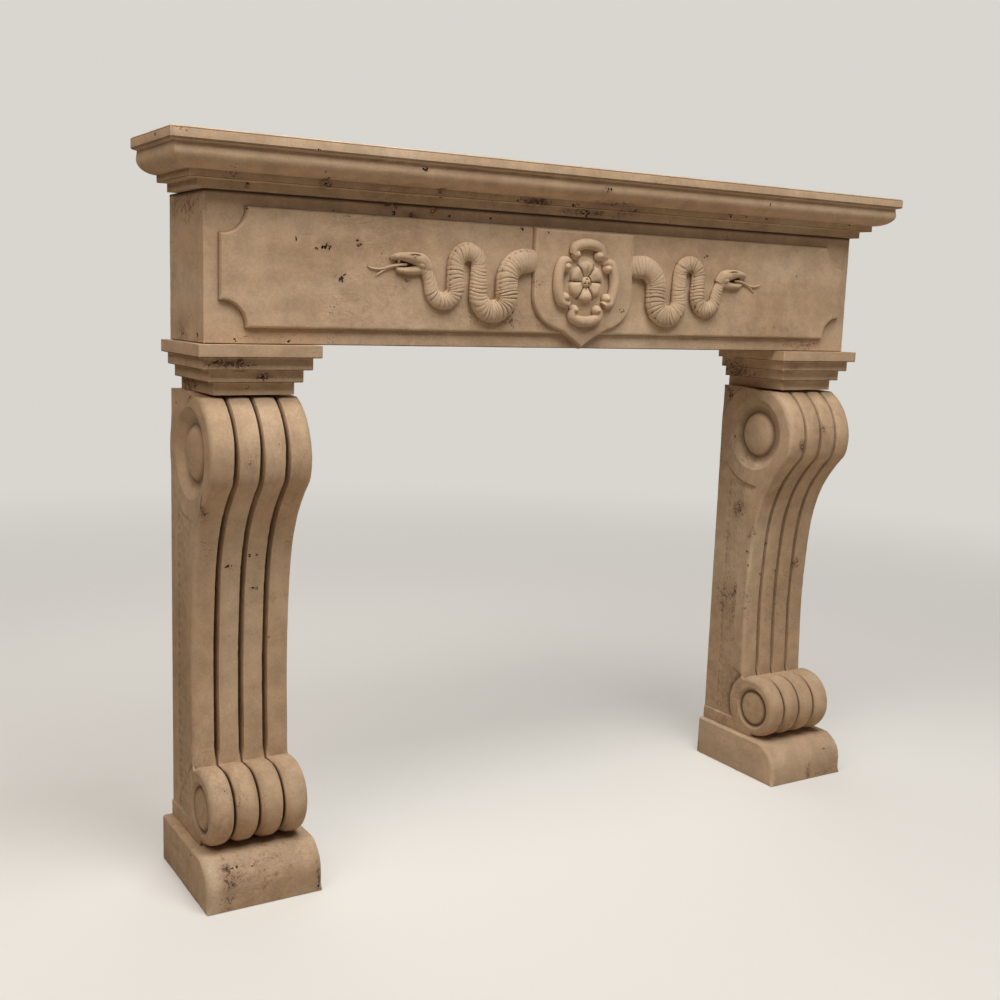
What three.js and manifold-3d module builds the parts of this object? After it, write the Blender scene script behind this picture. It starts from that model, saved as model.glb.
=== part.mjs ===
// A fireplace mantel in carved travertine. Two reeded scroll legs stand on plinths and carry stepped
// capitals, a frieze with a raised panel, and a moulded shelf. A rose in a scrolled frame lies on a
// shield in the middle of the panel, with a serpent on each side of it.
// Lengths are millimetres. +X runs along the shelf, -Y faces the room, +Y the wall, and +Z is up.
// The origin is on the floor, under the middle of the mantel's box. A "reach" is how far a point
// stands out from the wall.
import * as THREE from "three";
import { mergeVertices } from "three/addons/utils/BufferGeometryUtils.js";
import Module from "manifold-3d";

const DEPTH = 290;
const WALL_Y = DEPTH / 2;
const JOINT = 0.4;

const PLINTH = { axis: 720, halfWidth: 118.5, reach: 286, height: 96, nose: 56 };

const LEG = { axis: 718, halfWidth: 100.5, height: 885, reeds: 4 };
const LEG_BASE = PLINTH.height + JOINT;
const LEG_TOP = LEG_BASE + LEG.height;
const VOLUTE = { reach: 130, z: 866, radius: 126 };
const SCROLL = { reach: 179, z: 174, radius: 77 };
// The front of the shaft between the volute and the lower scroll, as reach and height.
const SHAFT = [[222, 794], [187, 747], [162, 692], [145.5, 620], [136, 507], [134, 400], [140, 243]];
const GROOVE = { shaft: 15, scroll: 9, side: 7 };
// Across half a reed: share of its half-width, share of the groove's depth.
const REED = [[0, 0], [0.5, 0.1], [0.88, 0.4], [1, 1]];
// The sunk ring round the volute's boss, and the thin ring round the lower scroll's eye.
const BOSS_RING = { reach: 127, z: 866, inner: 50, outer: 82, depth: 9 };
const EYE_RING = { reach: 183, z: 170, inner: 40, outer: 48, depth: 4 };
// The nick where the volute's ring ends against the shaft.
const NOTCH = [[155, 768], [146, 728]];
const SIDE_PANEL = { back: 46, bottom: 123, band: 30, depth: 3 };

const CAPITAL = { axis: 714, height: 95, halfWidths: [80.5, 94, 108, 121], reaches: [195, 209, 223, 237] };
const CAPITAL_BASE = LEG_TOP + JOINT;

const FRIEZE = { halfLength: 816, reach: 206, height: 277.4 };
const FRIEZE_BASE = CAPITAL_BASE + CAPITAL.height + JOINT;
const PANEL = { halfLength: 785, bottom: 1110, top: 1326, rise: 10, draft: 4, scoop: 50 };
const PANEL_REACH = FRIEZE.reach + PANEL.rise;

// The carved group sits a little to the right of the mantel's middle.
const CARVING_X = 12;
const SHIELD = { halfWidth: 127, shoulder: 1190, shoulderRadius: 70, tip: 1080.5, rise: 10, draft: 3 };
const SHIELD_REACH = PANEL_REACH + SHIELD.rise;
// The frame's four bars follow an ellipse round the rose. Each has its middle angle and half its
// span, in degrees.
const FRAME = { z: 1217, halfWide: 73, halfHigh: 82, barHalf: 11, barRise: 15, curlRadius: 67 };
const BARS = [[0, 39], [90, 35], [180, 39], [270, 35]];
const CURL = { span: 29, radius: 11, rise: 16 };
const ROSE = { x: CARVING_X - 2.5, z: 1219, disc: 58, discRise: 4, petals: 6, petalRing: 25 };
const BUTTON = { radius: 12.5, rise: 12 };
const PETAL = { length: 18, width: 15, rise: 13 };

// A serpent's body beside the shield, away from the group's middle: where it comes out, its bends
// with the half-widths at their ends, and the stations between them as distance, height and
// half-width.
const SERPENT_START = [123, 1257, 21];
const SERPENT_BENDS = [
  { x: 150, z: 1213, radius: 44, from: 90, to: 0, halves: [25, 26], steps: 5 },
  { x: 227.5, z: 1184.5, radius: 33.5, from: 180, to: 360, halves: [26, 21.5], steps: 8 },
  { x: 287.5, z: 1242.5, radius: 26.5, from: 180, to: 0, halves: [18, 19], steps: 7 },
  { x: 341.5, z: 1196.5, radius: 27.5, from: 180, to: 360, halves: [20.5, 15.5], steps: 7 },
];
const SERPENT_LIMBS = [[], [[261, 1213, 20]], [[314, 1219, 20]], [[374, 1213, 13.5]]];
const SERPENT_NECK = [[383, 1229, 13], [396, 1241, 13]];
// The head's rolls, each with its number of sides and its stations: distance from the group's
// middle, height, half-width and rise.
const HEAD = [
  [6, [386, 1246, 15, 14], [405, 1251, 12.5, 15], [422, 1253, 10, 13], [440, 1252.5, 7.5, 10],
    [455, 1250, 3, 5]],
  [4, [386, 1236, 12, 11], [404, 1231, 8, 10], [424, 1226, 5.5, 8], [446, 1232, 3, 5]],
  [3, [420, 1240, 3, 4], [444, 1236, 3, 4], [474, 1228.5, 3, 4], [492, 1228, 3, 4], [507, 1231, 2, 3]],
  [3, [468, 1229.5, 3, 4], [488, 1217, 2.5, 3]],
];

const SHELF = { back: 38, height: 95 };
const SHELF_BASE = FRIEZE_BASE + FRIEZE.height + JOINT;
// The shelf's mouldings, as projection beyond the frieze and height above the shelf's underside.
const FILLETS = [[16, 0], [16, 16], [36, 16], [36, 29.5]];
const OVOLO = { from: 36.4, z: 29.5, width: 38.2, height: 26.5 };
const SLAB = [[72.5, 71], [82, 73], [84, 75], [84, 92], [81, 95]];

// How deep the carved forms run into the stone that carries them.
const ROOT = 6;

const wasm = await Module();
wasm.setup();

const radians = THREE.MathUtils.degToRad;
const mix = THREE.MathUtils.lerp;

// The numbers 0, 1/steps, 2/steps and so on to 1.
function shares(steps) {
  return Array.from({ length: steps + 1 }, (_, i) => i / steps);
}

// Points on an arc, with angles in degrees.
function arc(x, y, radius, from, to, steps) {
  return shares(steps).map((t) => {
    const angle = radians(mix(from, to, t));
    return [x + radius * Math.cos(angle), y + radius * Math.sin(angle)];
  });
}

// A closed geometry as a solid, with its faces turned outwards.
function solidOf(geometry) {
  const bare = geometry.index ? geometry.toNonIndexed() : geometry.clone();
  bare.deleteAttribute("normal");
  bare.deleteAttribute("uv");
  const merged = mergeVertices(bare, 1e-4);
  const vertProperties = merged.attributes.position.array;
  const triVerts = new Uint32Array(merged.index.array);
  const build = (faces) => new wasm.Manifold(new wasm.Mesh({ numProp: 3, vertProperties, triVerts: faces }));
  const solid = build(triVerts);
  return solid.volume() > 0 ? solid : build(triVerts.reverse());
}

function geometryOf(solid) {
  const { vertProperties, triVerts } = solid.getMesh();
  const geometry = new THREE.BufferGeometry();
  geometry.setAttribute("position", new THREE.BufferAttribute(vertProperties, 3));
  geometry.setIndex(new THREE.BufferAttribute(triVerts, 1));
  return geometry;
}

// A solid through sections of equal point counts. Both ends are closed flat, and endOutline is the
// first section drawn flat.
function loft(sections, endOutline) {
  const count = endOutline.length;
  const faces = [];
  for (let s = 0; s + 1 < sections.length; s++) {
    for (let i = 0; i < count; i++) {
      const here = s * count + i;
      const next = s * count + ((i + 1) % count);
      faces.push(here, next, next + count, here, next + count, here + count);
    }
  }
  const flat = endOutline.map(([x, y]) => new THREE.Vector2(x, y));
  const triangles = THREE.ShapeUtils.triangulateShape(flat, []);
  const firstArea = THREE.ShapeUtils.area(triangles[0].map((i) => flat[i]));
  const sameTurn = Math.sign(firstArea) === Math.sign(THREE.ShapeUtils.area(flat));
  const far = (sections.length - 1) * count;
  for (const [a, b, c] of triangles) {
    const [second, third] = sameTurn ? [b, c] : [c, b];
    faces.push(a, third, second, far + a, far + second, far + third);
  }
  const geometry = new THREE.BufferGeometry();
  geometry.setAttribute("position", new THREE.Float32BufferAttribute(sections.flat(2), 3));
  geometry.setIndex(faces);
  return solidOf(geometry);
}

// A box from its sides, given by reaches and heights.
function block(centreX, halfWidth, backReach, frontReach, bottom, top) {
  const geometry = new THREE.BoxGeometry(2 * halfWidth, frontReach - backReach, top - bottom);
  geometry.translate(centreX, WALL_Y - (frontReach + backReach) / 2, (top + bottom) / 2);
  return solidOf(geometry);
}

// An outline in reach and height, pushed along X from centreX - halfWidth to centreX + halfWidth.
function sidewaysBar(outline, centreX, halfWidth) {
  const sections = [-halfWidth, halfWidth].map((offset) =>
    outline.map(([reach, z]) => [centreX + offset, WALL_Y - reach, z]),
  );
  return loft(sections, outline);
}

// A raised field with the given front outline, in X and height. Its flanks widen by draft on the
// way back, away from the given centre.
function raisedField(outline, centre, backReach, frontReach, draft) {
  const front = outline.map(([x, z]) => [x, WALL_Y - frontReach, z]);
  const back = outline.map(([x, z]) => {
    const wider = [x + draft * Math.sign(x - centre[0]), z + draft * Math.sign(z - centre[1])];
    return [wider[0], WALL_Y - backReach, wider[1]];
  });
  return loft([back, front], outline);
}

// A half-round roll of carving along stations of { x, z, half, rise }, seated on the given reach.
function carvedRoll(stations, reach, sides = 6) {
  const sections = stations.map((station, i) => {
    const before = stations[Math.max(i - 1, 0)];
    const after = stations[Math.min(i + 1, stations.length - 1)];
    const along = new THREE.Vector2(after.x - before.x, after.z - before.z).normalize();
    const place = (across, out) => [
      station.x - along.y * across,
      WALL_Y - reach - out,
      station.z + along.x * across,
    ];
    const top = shares(sides).map((t) => {
      const angle = Math.PI * t;
      return place(station.half * Math.cos(angle), station.rise * Math.sin(angle));
    });
    return [place(station.half, -ROOT), ...top, place(-station.half, -ROOT)];
  });
  const endOutline = [[1, -1], ...arc(0, 0, 1, 0, 180, sides), [-1, -1]];
  return loft(sections, endOutline);
}

// A low dome on the given reach: half-widths along and across, turned by a number of degrees.
function dome(x, z, reach, length, width, rise, turn = 0, around = 10) {
  const geometry = new THREE.SphereGeometry(1, around, 6);
  geometry.rotateX(Math.PI / 2);
  geometry.scale(length, rise, width);
  geometry.rotateY(-radians(turn));
  geometry.translate(x, WALL_Y - reach, z);
  return solidOf(geometry);
}

function joined(solids) {
  return solids.reduce((whole, next) => whole.add(next));
}

function plinth(side) {
  const nose = arc(PLINTH.reach - PLINTH.nose, PLINTH.height - PLINTH.nose, PLINTH.nose, 90, 0, 8);
  const outline = [[0, 0], [0, PLINTH.height], ...nose, [PLINTH.reach, 0]];
  return sidewaysBar(outline, side * PLINTH.axis, PLINTH.halfWidth);
}

// The leg's side outline where a groove is sunk by the given depths on the shaft and the scroll.
function legOutline(shaftSink, scrollSink) {
  const rise = LEG_TOP - VOLUTE.z;
  const sinkAt = (angle) => shaftSink * (1 - 0.4 * THREE.MathUtils.smoothstep(angle, 45, 78));
  const topRadius = VOLUTE.radius - sinkAt(78);
  const start = THREE.MathUtils.radToDeg(Math.asin(rise / topRadius));
  const leave = -20;
  const volute = shares(10).map((t) => {
    const angle = mix(start, leave, t);
    const radius = t === 0 ? topRadius : VOLUTE.radius - sinkAt(angle);
    return arc(VOLUTE.reach, VOLUTE.z, radius, angle, angle, 1)[0];
  });

  const lead = arc(VOLUTE.reach, VOLUTE.z, VOLUTE.radius, leave + 14, leave, 1);
  const front = new THREE.SplineCurve([...lead, ...SHAFT].map(([reach, z]) => new THREE.Vector2(reach, z)));
  const firstShare = 1 / (SHAFT.length + 1);
  const shaft = shares(12).slice(1).map((t) => {
    const share = mix(firstShare, 1, t);
    const point = front.getPoint(share);
    const along = front.getTangent(share);
    return [point.x + along.y * shaftSink, point.y - along.x * shaftSink];
  });

  const radius = SCROLL.radius - scrollSink;
  const foot = shaft[shaft.length - 1][0];
  const contact = THREE.MathUtils.radToDeg(Math.acos((foot - SCROLL.reach) / radius));
  const scroll = arc(SCROLL.reach, SCROLL.z, radius, contact, -85, 14);
  return [[0, LEG_BASE], [0, LEG_TOP], ...volute, ...shaft, ...scroll, [SCROLL.reach, LEG_BASE]];
}

// Places across the leg, each with the depth it is sunk by on the shaft and on the lower scroll.
function reedStations() {
  const half = LEG.halfWidth / LEG.reeds;
  const stations = [];
  for (let reed = 0; reed < LEG.reeds; reed++) {
    const centre = -LEG.halfWidth + (2 * reed + 1) * half;
    const left = REED.slice(1).reverse().map(([across, sunk]) => [-across, sunk]);
    for (const [across, sunk] of [...left, ...REED]) {
      const onSide = (reed === 0 && across < 0) || (reed === LEG.reeds - 1 && across > 0);
      const shaft = sunk * (onSide ? GROOVE.side : GROOVE.shaft);
      const scroll = sunk * (onSide ? GROOVE.side : GROOVE.scroll);
      if (reed === 0 || across > -1) {
        stations.push({ x: centre + across * half, shaft, scroll });
      }
    }
  }
  return stations;
}

// A ring that sinks into the leg's side face down to the given floor, as distance from its axis and
// depth.
function ringCutter(ring, floor, x, facing, around) {
  const clear = -1;
  const inside = [[ring.inner, clear], [ring.inner, 0]];
  const outside = [[ring.outer, 0], [ring.outer, clear]];
  const profile = [...inside, ...floor, ...outside, inside[0]];
  const points = profile.map(([r, sunk]) => new THREE.Vector2(r, -sunk));
  const geometry = new THREE.LatheGeometry(points, around);
  geometry.rotateZ(-facing * Math.PI / 2);
  geometry.translate(x, WALL_Y - ring.reach, ring.z);
  return solidOf(geometry);
}

function sideCutters(centreX, facing) {
  const x = centreX + facing * LEG.halfWidth;
  const boss = BOSS_RING;
  const bossFloor = [[boss.inner + 5, boss.depth], [boss.outer - 10, boss.depth]];
  const eye = EYE_RING;
  const eyeFloor = [[(eye.inner + eye.outer) / 2, eye.depth]];

  const { back, bottom, band } = SIDE_PANEL;
  const cut = THREE.MathUtils.radToDeg(Math.acos((back - VOLUTE.reach) / VOLUTE.radius));
  const underRing = arc(VOLUTE.reach, VOLUTE.z, VOLUTE.radius, 360 - cut, 276, 6);
  const alongBand = SHAFT.slice(3).map(([reach, z]) => [reach - band, z]);
  const aroundScroll = arc(SCROLL.reach, SCROLL.z, SCROLL.radius + 4, 146, 219, 5);
  const outline = [[back, bottom], ...underRing, ...NOTCH, ...alongBand, ...aroundScroll];
  return [
    ringCutter(boss, bossFloor, x, facing, 28),
    ringCutter(eye, eyeFloor, x, facing, 20),
    sidewaysBar(outline, x, SIDE_PANEL.depth),
  ];
}

function leg(side) {
  const centreX = side * LEG.axis;
  const sections = reedStations().map(({ x, shaft, scroll }) =>
    legOutline(shaft, scroll).map(([reach, z]) => [centreX + x, WALL_Y - reach, z]),
  );
  const body = loft(sections, legOutline(GROOVE.side, GROOVE.side));
  return body.subtract(joined([...sideCutters(centreX, -1), ...sideCutters(centreX, 1)]));
}

function capital(side) {
  const step = CAPITAL.height / CAPITAL.halfWidths.length;
  return joined(
    CAPITAL.halfWidths.map((halfWidth, i) => {
      const bottom = CAPITAL_BASE + i * step;
      return block(side * CAPITAL.axis, halfWidth, 0, CAPITAL.reaches[i], bottom, bottom + step);
    }),
  );
}

// The raised panel, with each corner scooped out by a quarter circle.
function panelOutline() {
  const { halfLength, bottom, top, scoop } = PANEL;
  return [
    ...arc(-halfLength, bottom, scoop, 90, 0, 8),
    ...arc(halfLength, bottom, scoop, 180, 90, 8),
    ...arc(halfLength, top, scoop, 270, 180, 8),
    ...arc(-halfLength, top, scoop, 360, 270, 8),
  ];
}

// The shield: straight sides, round shoulders, and a pointed foot.
function shieldOutline() {
  const { halfWidth, shoulder, shoulderRadius, tip } = SHIELD;
  const centre = halfWidth - shoulderRadius;
  const round = arc(centre, shoulder, shoulderRadius, 0, -72, 6);
  const [endX, endZ] = round[round.length - 1];
  const sweep = new THREE.QuadraticBezierCurve(
    new THREE.Vector2(endX, endZ),
    new THREE.Vector2(45, 1115),
    new THREE.Vector2(0, tip),
  );
  const foot = shares(4).slice(1).map((t) => sweep.getPoint(t).toArray());
  const right = [[halfWidth, PANEL.top - 1], ...round, ...foot];
  const left = right.slice(0, -1).reverse().map(([x, z]) => [-x, z]);
  return [...right, ...left].map(([x, z]) => [CARVING_X + x, z]);
}

function scrolledFrame() {
  const { z: frameZ, halfWide, halfHigh, barHalf, barRise } = FRAME;
  const forms = [dome(ROSE.x, ROSE.z, SHIELD_REACH, ROSE.disc, ROSE.disc, ROSE.discRise, 0, 20)];
  for (const [middle, span] of BARS) {
    const stations = arc(0, 0, 1, middle - span, middle + span, 8).map(([across, up]) => ({
      x: CARVING_X + halfWide * across,
      z: frameZ + halfHigh * up,
      half: barHalf,
      rise: barRise,
    }));
    forms.push(carvedRoll(stations, SHIELD_REACH, 4));
    for (const angle of [middle - CURL.span, middle + CURL.span]) {
      const [x, z] = arc(CARVING_X, frameZ, FRAME.curlRadius, angle, angle, 1)[0];
      forms.push(dome(x, z, SHIELD_REACH, CURL.radius, CURL.radius, CURL.rise, 0, 8));
    }
  }
  return forms;
}

function rose() {
  const forms = [dome(ROSE.x, ROSE.z, SHIELD_REACH, BUTTON.radius, BUTTON.radius, BUTTON.rise)];
  for (let petal = 0; petal < ROSE.petals; petal++) {
    const angle = 90 + (petal * 360) / ROSE.petals;
    const [x, z] = arc(ROSE.x, ROSE.z, ROSE.petalRing, angle, angle, 1)[0];
    forms.push(dome(x, z, SHIELD_REACH, PETAL.length, PETAL.width, PETAL.rise, angle));
  }
  return forms;
}

// A serpent's stations on one side of the shield, away from the group's middle.
function serpentStations(side) {
  const bends = SERPENT_BENDS.flatMap(({ x, z, radius, from, to, halves, steps }, i) => [
    ...arc(x, z, radius, from, to, steps).map((point, k) => [...point, mix(halves[0], halves[1], k / steps)]),
    ...SERPENT_LIMBS[i],
  ]);
  const course = [SERPENT_START, ...bends, ...SERPENT_NECK];
  // The body comes out from behind the shield, level with its face, and swells from there.
  const riseAt = (s, half) => Math.min(0.85 * half, SHIELD.rise + 0.35 * (s - SHIELD.halfWidth));
  return course.map(([s, z, half]) => ({ x: CARVING_X + side * s, z, half, rise: riseAt(s, half) }));
}

function serpentHead(side) {
  return HEAD.map(([sides, ...stations]) => {
    const course = stations.map(([s, z, half, rise]) => ({ x: CARVING_X + side * s, z, half, rise }));
    return carvedRoll(course, PANEL_REACH, sides);
  });
}

function frieze() {
  const top = FRIEZE_BASE + FRIEZE.height;
  const body = block(0, FRIEZE.halfLength, 0, FRIEZE.reach, FRIEZE_BASE, top);
  const panelMiddle = [0, (PANEL.bottom + PANEL.top) / 2];
  const panel = raisedField(panelOutline(), panelMiddle, FRIEZE.reach - ROOT, PANEL_REACH, PANEL.draft);
  const shieldMiddle = [CARVING_X, SHIELD.shoulder];
  const shield = raisedField(shieldOutline(), shieldMiddle, FRIEZE.reach - ROOT, SHIELD_REACH, SHIELD.draft);
  const serpents = [-1, 1].flatMap((side) => [
    carvedRoll(serpentStations(side), PANEL_REACH),
    ...serpentHead(side),
  ]);
  return joined([body, panel, shield, ...serpents, ...scrolledFrame(), ...rose()]);
}

// The shelf's mouldings return along both ends, and its back is cut flat.
function shelf() {
  const ovolo = shares(6).map((t) => {
    const angle = radians(90 * t);
    return [OVOLO.from + OVOLO.width * Math.sin(angle), OVOLO.z + OVOLO.height * (1 - Math.cos(angle))];
  });
  const profile = [...FILLETS, ...ovolo, ...SLAB];
  const ringAt = ([out, up]) => {
    const x = FRIEZE.halfLength + out;
    const front = WALL_Y - FRIEZE.reach - out;
    const back = WALL_Y - SHELF.back;
    const z = SHELF_BASE + up;
    return [[-x, front, z], [x, front, z], [x, back, z], [-x, back, z]];
  };
  const courses = [];
  for (let i = 0; i + 1 < profile.length; i++) {
    if (profile[i + 1][1] > profile[i][1]) {
      courses.push(loft([ringAt(profile[i]), ringAt(profile[i + 1])], ringAt(profile[i])));
    }
  }
  return joined(courses);
}

function stone() {
  return new THREE.MeshStandardMaterial({ color: 0xbfa586, roughness: 0.75, metalness: 0 });
}

function stoneMesh(name, solid) {
  const mesh = new THREE.Mesh(geometryOf(solid), stone());
  mesh.name = name;
  return mesh;
}

const mantel = new THREE.Group();
for (const [name, side] of [["left", -1], ["right", 1]]) {
  mantel.add(stoneMesh(`plinth_${name}`, plinth(side)));
  mantel.add(stoneMesh(`leg_${name}`, leg(side)));
  mantel.add(stoneMesh(`capital_${name}`, capital(side)));
}
mantel.add(stoneMesh("frieze", frieze()));
mantel.add(stoneMesh("shelf", shelf()));

export default mantel;
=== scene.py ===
import math

import bmesh
import bpy
import numpy as np
from mathutils import Matrix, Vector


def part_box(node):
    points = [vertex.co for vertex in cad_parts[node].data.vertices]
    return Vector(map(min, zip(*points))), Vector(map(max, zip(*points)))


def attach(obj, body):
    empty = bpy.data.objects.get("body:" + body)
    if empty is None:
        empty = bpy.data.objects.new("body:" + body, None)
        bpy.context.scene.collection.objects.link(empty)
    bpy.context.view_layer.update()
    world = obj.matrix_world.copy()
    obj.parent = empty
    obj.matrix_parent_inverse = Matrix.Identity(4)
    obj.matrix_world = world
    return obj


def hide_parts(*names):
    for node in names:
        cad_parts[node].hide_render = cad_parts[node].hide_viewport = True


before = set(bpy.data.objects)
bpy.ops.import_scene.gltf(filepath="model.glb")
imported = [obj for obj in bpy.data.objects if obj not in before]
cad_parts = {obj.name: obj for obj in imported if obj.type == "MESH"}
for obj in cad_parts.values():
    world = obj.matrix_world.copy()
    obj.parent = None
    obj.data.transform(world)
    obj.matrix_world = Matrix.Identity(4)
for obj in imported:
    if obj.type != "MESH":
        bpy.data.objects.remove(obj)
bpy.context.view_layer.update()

MM = 0.001
# Edges that turn by more than this many degrees are shaded sharp.
SHARP = 34.0
# What the finish reads from the meshes; the first two also carry painted shade, and the first painted
# highlights.
LABELS = ("stain_and_painted_light", "wear_and_shade", "hollow")


def box_mm(node):
    """A CAD node's lowest and highest corners."""
    low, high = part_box(node)
    return np.array(low) / MM, np.array(high) / MM


WALL_Y = box_mm("frieze")[1][1]

# The leg's side outline, as reach and height.
VOLUTE = {"reach": 130, "z": 866, "radius": 126}
SCROLL = {"reach": 179, "z": 174, "radius": 77}
SHAFT = [(222, 794), (187, 747), (162, 692), (145.5, 620), (136, 507), (134, 400), (140, 243)]
VOLUTE_START = 88.0
VOLUTE_END = -20.0
SCROLL_END = -86.0
REEDS = 4
VOLUTE_GROOVE_DEPTH = 15.0
SHAFT_GROOVE_DEPTH = 25.0
SCROLL_GROOVE_DEPTH = 21.0
VOLUTE_ROUND = 16.0
SHAFT_ROUND = 9.0
SCROLL_ROUND = 18.5
CROWN = 2.2
SIDE_STRIP = 44.0
SIDE_BASE = 123.0
SIDE_SUNK = 2.4
CHANNEL_SUNK = 2.2
RIM_WIDTH = 28.0
LEG_ROOF_DIP = 4.6
# The sunk rings round the volute's boss and the scroll's eye: the reach and height of their middle,
# how many points go round, and rows of radius, depth and painted shade from the middle out; the
# shade is darkest on the floor of the sunk channel, and below 0 the outer lip is paler.
SUNK_RINGS = {
    "ring": (127, 866, 144, [
        (0.01, 0.2, 0), (15, 0.5, 0), (27, 1.6, 0), (36, 3.4, 0), (43, 5.8, 0), (48, 8.8, 0.1),
        (51.5, 12, 0.4), (54, 14.4, 0.7), (57, 15.2, 0.7), (62, 15.4, 0.4), (67, 14.6, 0.3),
        (72, 12.2, 0.1), (77, 8.8, 0), (81.5, 5.2, 0), (85.5, 2.2, -0.1), (88.5, 0.5, -0.2),
        (90, -0.6, 0), (91, -3, 0), (0.01, -3, 0),
    ]),
    "eye": (181, 171, 96, [
        (0.01, 0.4, 0), (20, 0.8, 0), (32, 1.6, 0), (38, 3.0, 0.2), (41, 5.6, 0.7), (44, 6.8, 0.9),
        (47, 5.8, 0.6), (50, 3.2, 0.1), (53, 0.8, 0), (54.5, -0.8, 0), (55, -3, 0), (0.01, -3, 0),
    ]),
}

PLINTH_NOSE = 56.0
CAPITAL_HALF_WIDTHS = [80.5, 94, 108, 121]
CAPITAL_REACHES = [195, 209, 223, 237]

FRIEZE_REACH = 206.0
PANEL = {"half_length": 785, "bottom": 1110, "top": 1326, "rise": 10, "draft": 4, "scoop": 50}
PANEL_REACH = FRIEZE_REACH + PANEL["rise"]
CARVING_X = 12.0
SHIELD = {"half_width": 127, "shoulder": 1190, "radius": 70, "tip": 1080.5, "rise": 10, "draft": 3}
SHIELD_REACH = PANEL_REACH + SHIELD["rise"]
# The frame's four C-scrolls follow an ellipse round the rose, each with its middle angle and half
# its span in degrees. Their ends turn in to curls on a smaller ellipse.
FRAME = {"z": 1217.0, "half_wide": 73.0, "half_high": 82.0, "turned_in": 11.0, "half": 11.5, "rise": 16.5}
FRAME_BARS = ((0, 41), (90, 37), (180, 41), (270, 37))
CURL = {"turn": 29, "half_wide": 61, "half_high": 66, "radius": 11.8, "rise": 17.5}
ROSE = {"x": CARVING_X - 2.5, "z": 1219.0, "tip": 44.0, "button": 12.8, "moat": 13.4, "holes": 5.4}

# How far the square stones' upright corners are rounded in plan.
PLAN_CORNER = 2.5
# The shelf's mouldings, as projection beyond the frieze and height above the shelf's underside.
FILLETS = [(16, 0), (16, 16), (36, 16), (36, 29.5)]
OVOLO = {"from": 36.4, "z": 29.5, "width": 38.2, "height": 26.5}
SLAB = [(72.5, 71), (82, 73), (84, 75), (84, 92), (81, 95)]

# A serpent's body beside the shield: start, bends with the half-widths at their ends, straight limbs
# and neck, as distance from the group's middle, height and half-width.
SERPENT_START = (110, 1257, 21)
SERPENT_BENDS = [
    (150, 1213, 44, 90, 0, 25, 26),
    (227.5, 1184.5, 33.5, 180, 360, 26, 21.5),
    (287.5, 1242.5, 26.5, 180, 0, 18, 19),
    (341.5, 1196.5, 27.5, 180, 360, 20.5, 15.5),
]
SERPENT_LIMBS = [[], [(261, 1213, 20)], [(314, 1219, 20)], [(374, 1213, 13.5)]]
SERPENT_NECK = [(383, 1229, 12.5), (392, 1238, 12.5), (398, 1241, 11)]
RIB_PITCH = 7.2
LUMP_SINK = 4.0
# The head's rolls: their stations, the points round their section, the angle of their undercut, the
# depth of their root, and rows of distance from the group's middle, height, half-width and rise.
HEAD_ROLLS = {
    "upper jaw": (90, 26, 26.0, 5.0, [
        (376, 1229, 12, 12), (388, 1243, 14.5, 16.5), (403, 1249, 13.2, 18.5), (418, 1251.5, 10.8, 17.5),
        (432, 1252.5, 8.6, 15.5), (444, 1252, 7.2, 13), (453, 1250.5, 5.6, 10.5), (459, 1247.5, 2.6, 5.5),
    ]),
    "lower jaw": (70, 22, 26.0, 5.0, [
        (384, 1232, 11, 11), (398, 1228.5, 9.5, 12.5), (412, 1226, 8, 12.5), (426, 1225, 7, 11.5),
        (438, 1226, 6, 10), (447, 1229, 3.2, 6),
    ]),
    "tongue": (90, 14, 20.0, 3.0, [
        (424, 1237, 3.2, 8), (440, 1236, 3.4, 9), (456, 1232.5, 3.4, 7), (472, 1227.5, 3.2, 5.4),
        (488, 1226, 3.0, 4.6), (499, 1227.5, 2.5, 4.0), (507, 1231, 1.3, 2.8),
    ]),
    "fork": (40, 12, 20.0, 3.0, [
        (464, 1229, 2.8, 4.8), (474, 1223.5, 2.8, 4.6), (484, 1216.5, 2.4, 3.8), (489, 1212.5, 1.1, 2.4),
    ]),
    "fang": (24, 12, 20.0, 3.0, [
        (443, 1249, 2.4, 12), (442, 1243.5, 2.0, 11), (441.5, 1239, 1.2, 10), (441, 1236, 0.5, 8),
    ]),
    "brow": (40, 12, 20.0, 3.0, [
        (398, 1256, 2.2, 17), (406, 1258.5, 3.0, 20), (415, 1258.5, 3.0, 19.5), (424, 1257, 2.0, 16.5),
    ]),
    # The throat is a low roll in the mouth, painted dark all over as the mouth's shade.
    "throat_painted_shade": (30, 12, 20.0, 3.0, [
        (410, 1239, 4, 2.6), (422, 1239, 7, 2.8), (434, 1238, 7.5, 2.8), (446, 1238, 4.5, 2.2),
    ]),
}
# The eye, the nostril and the gland behind the jaw: distance, height, seat, half-lengths along and
# across, rise and turn in degrees.
HEAD_LUMPS = [
    (412, 1253, 14, 4.6, 4.2, 6, 0), (451, 1253, 6, 3.0, 2.6, 6, 0), (394, 1237, 4, 11, 9, 13, 20),
]

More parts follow.
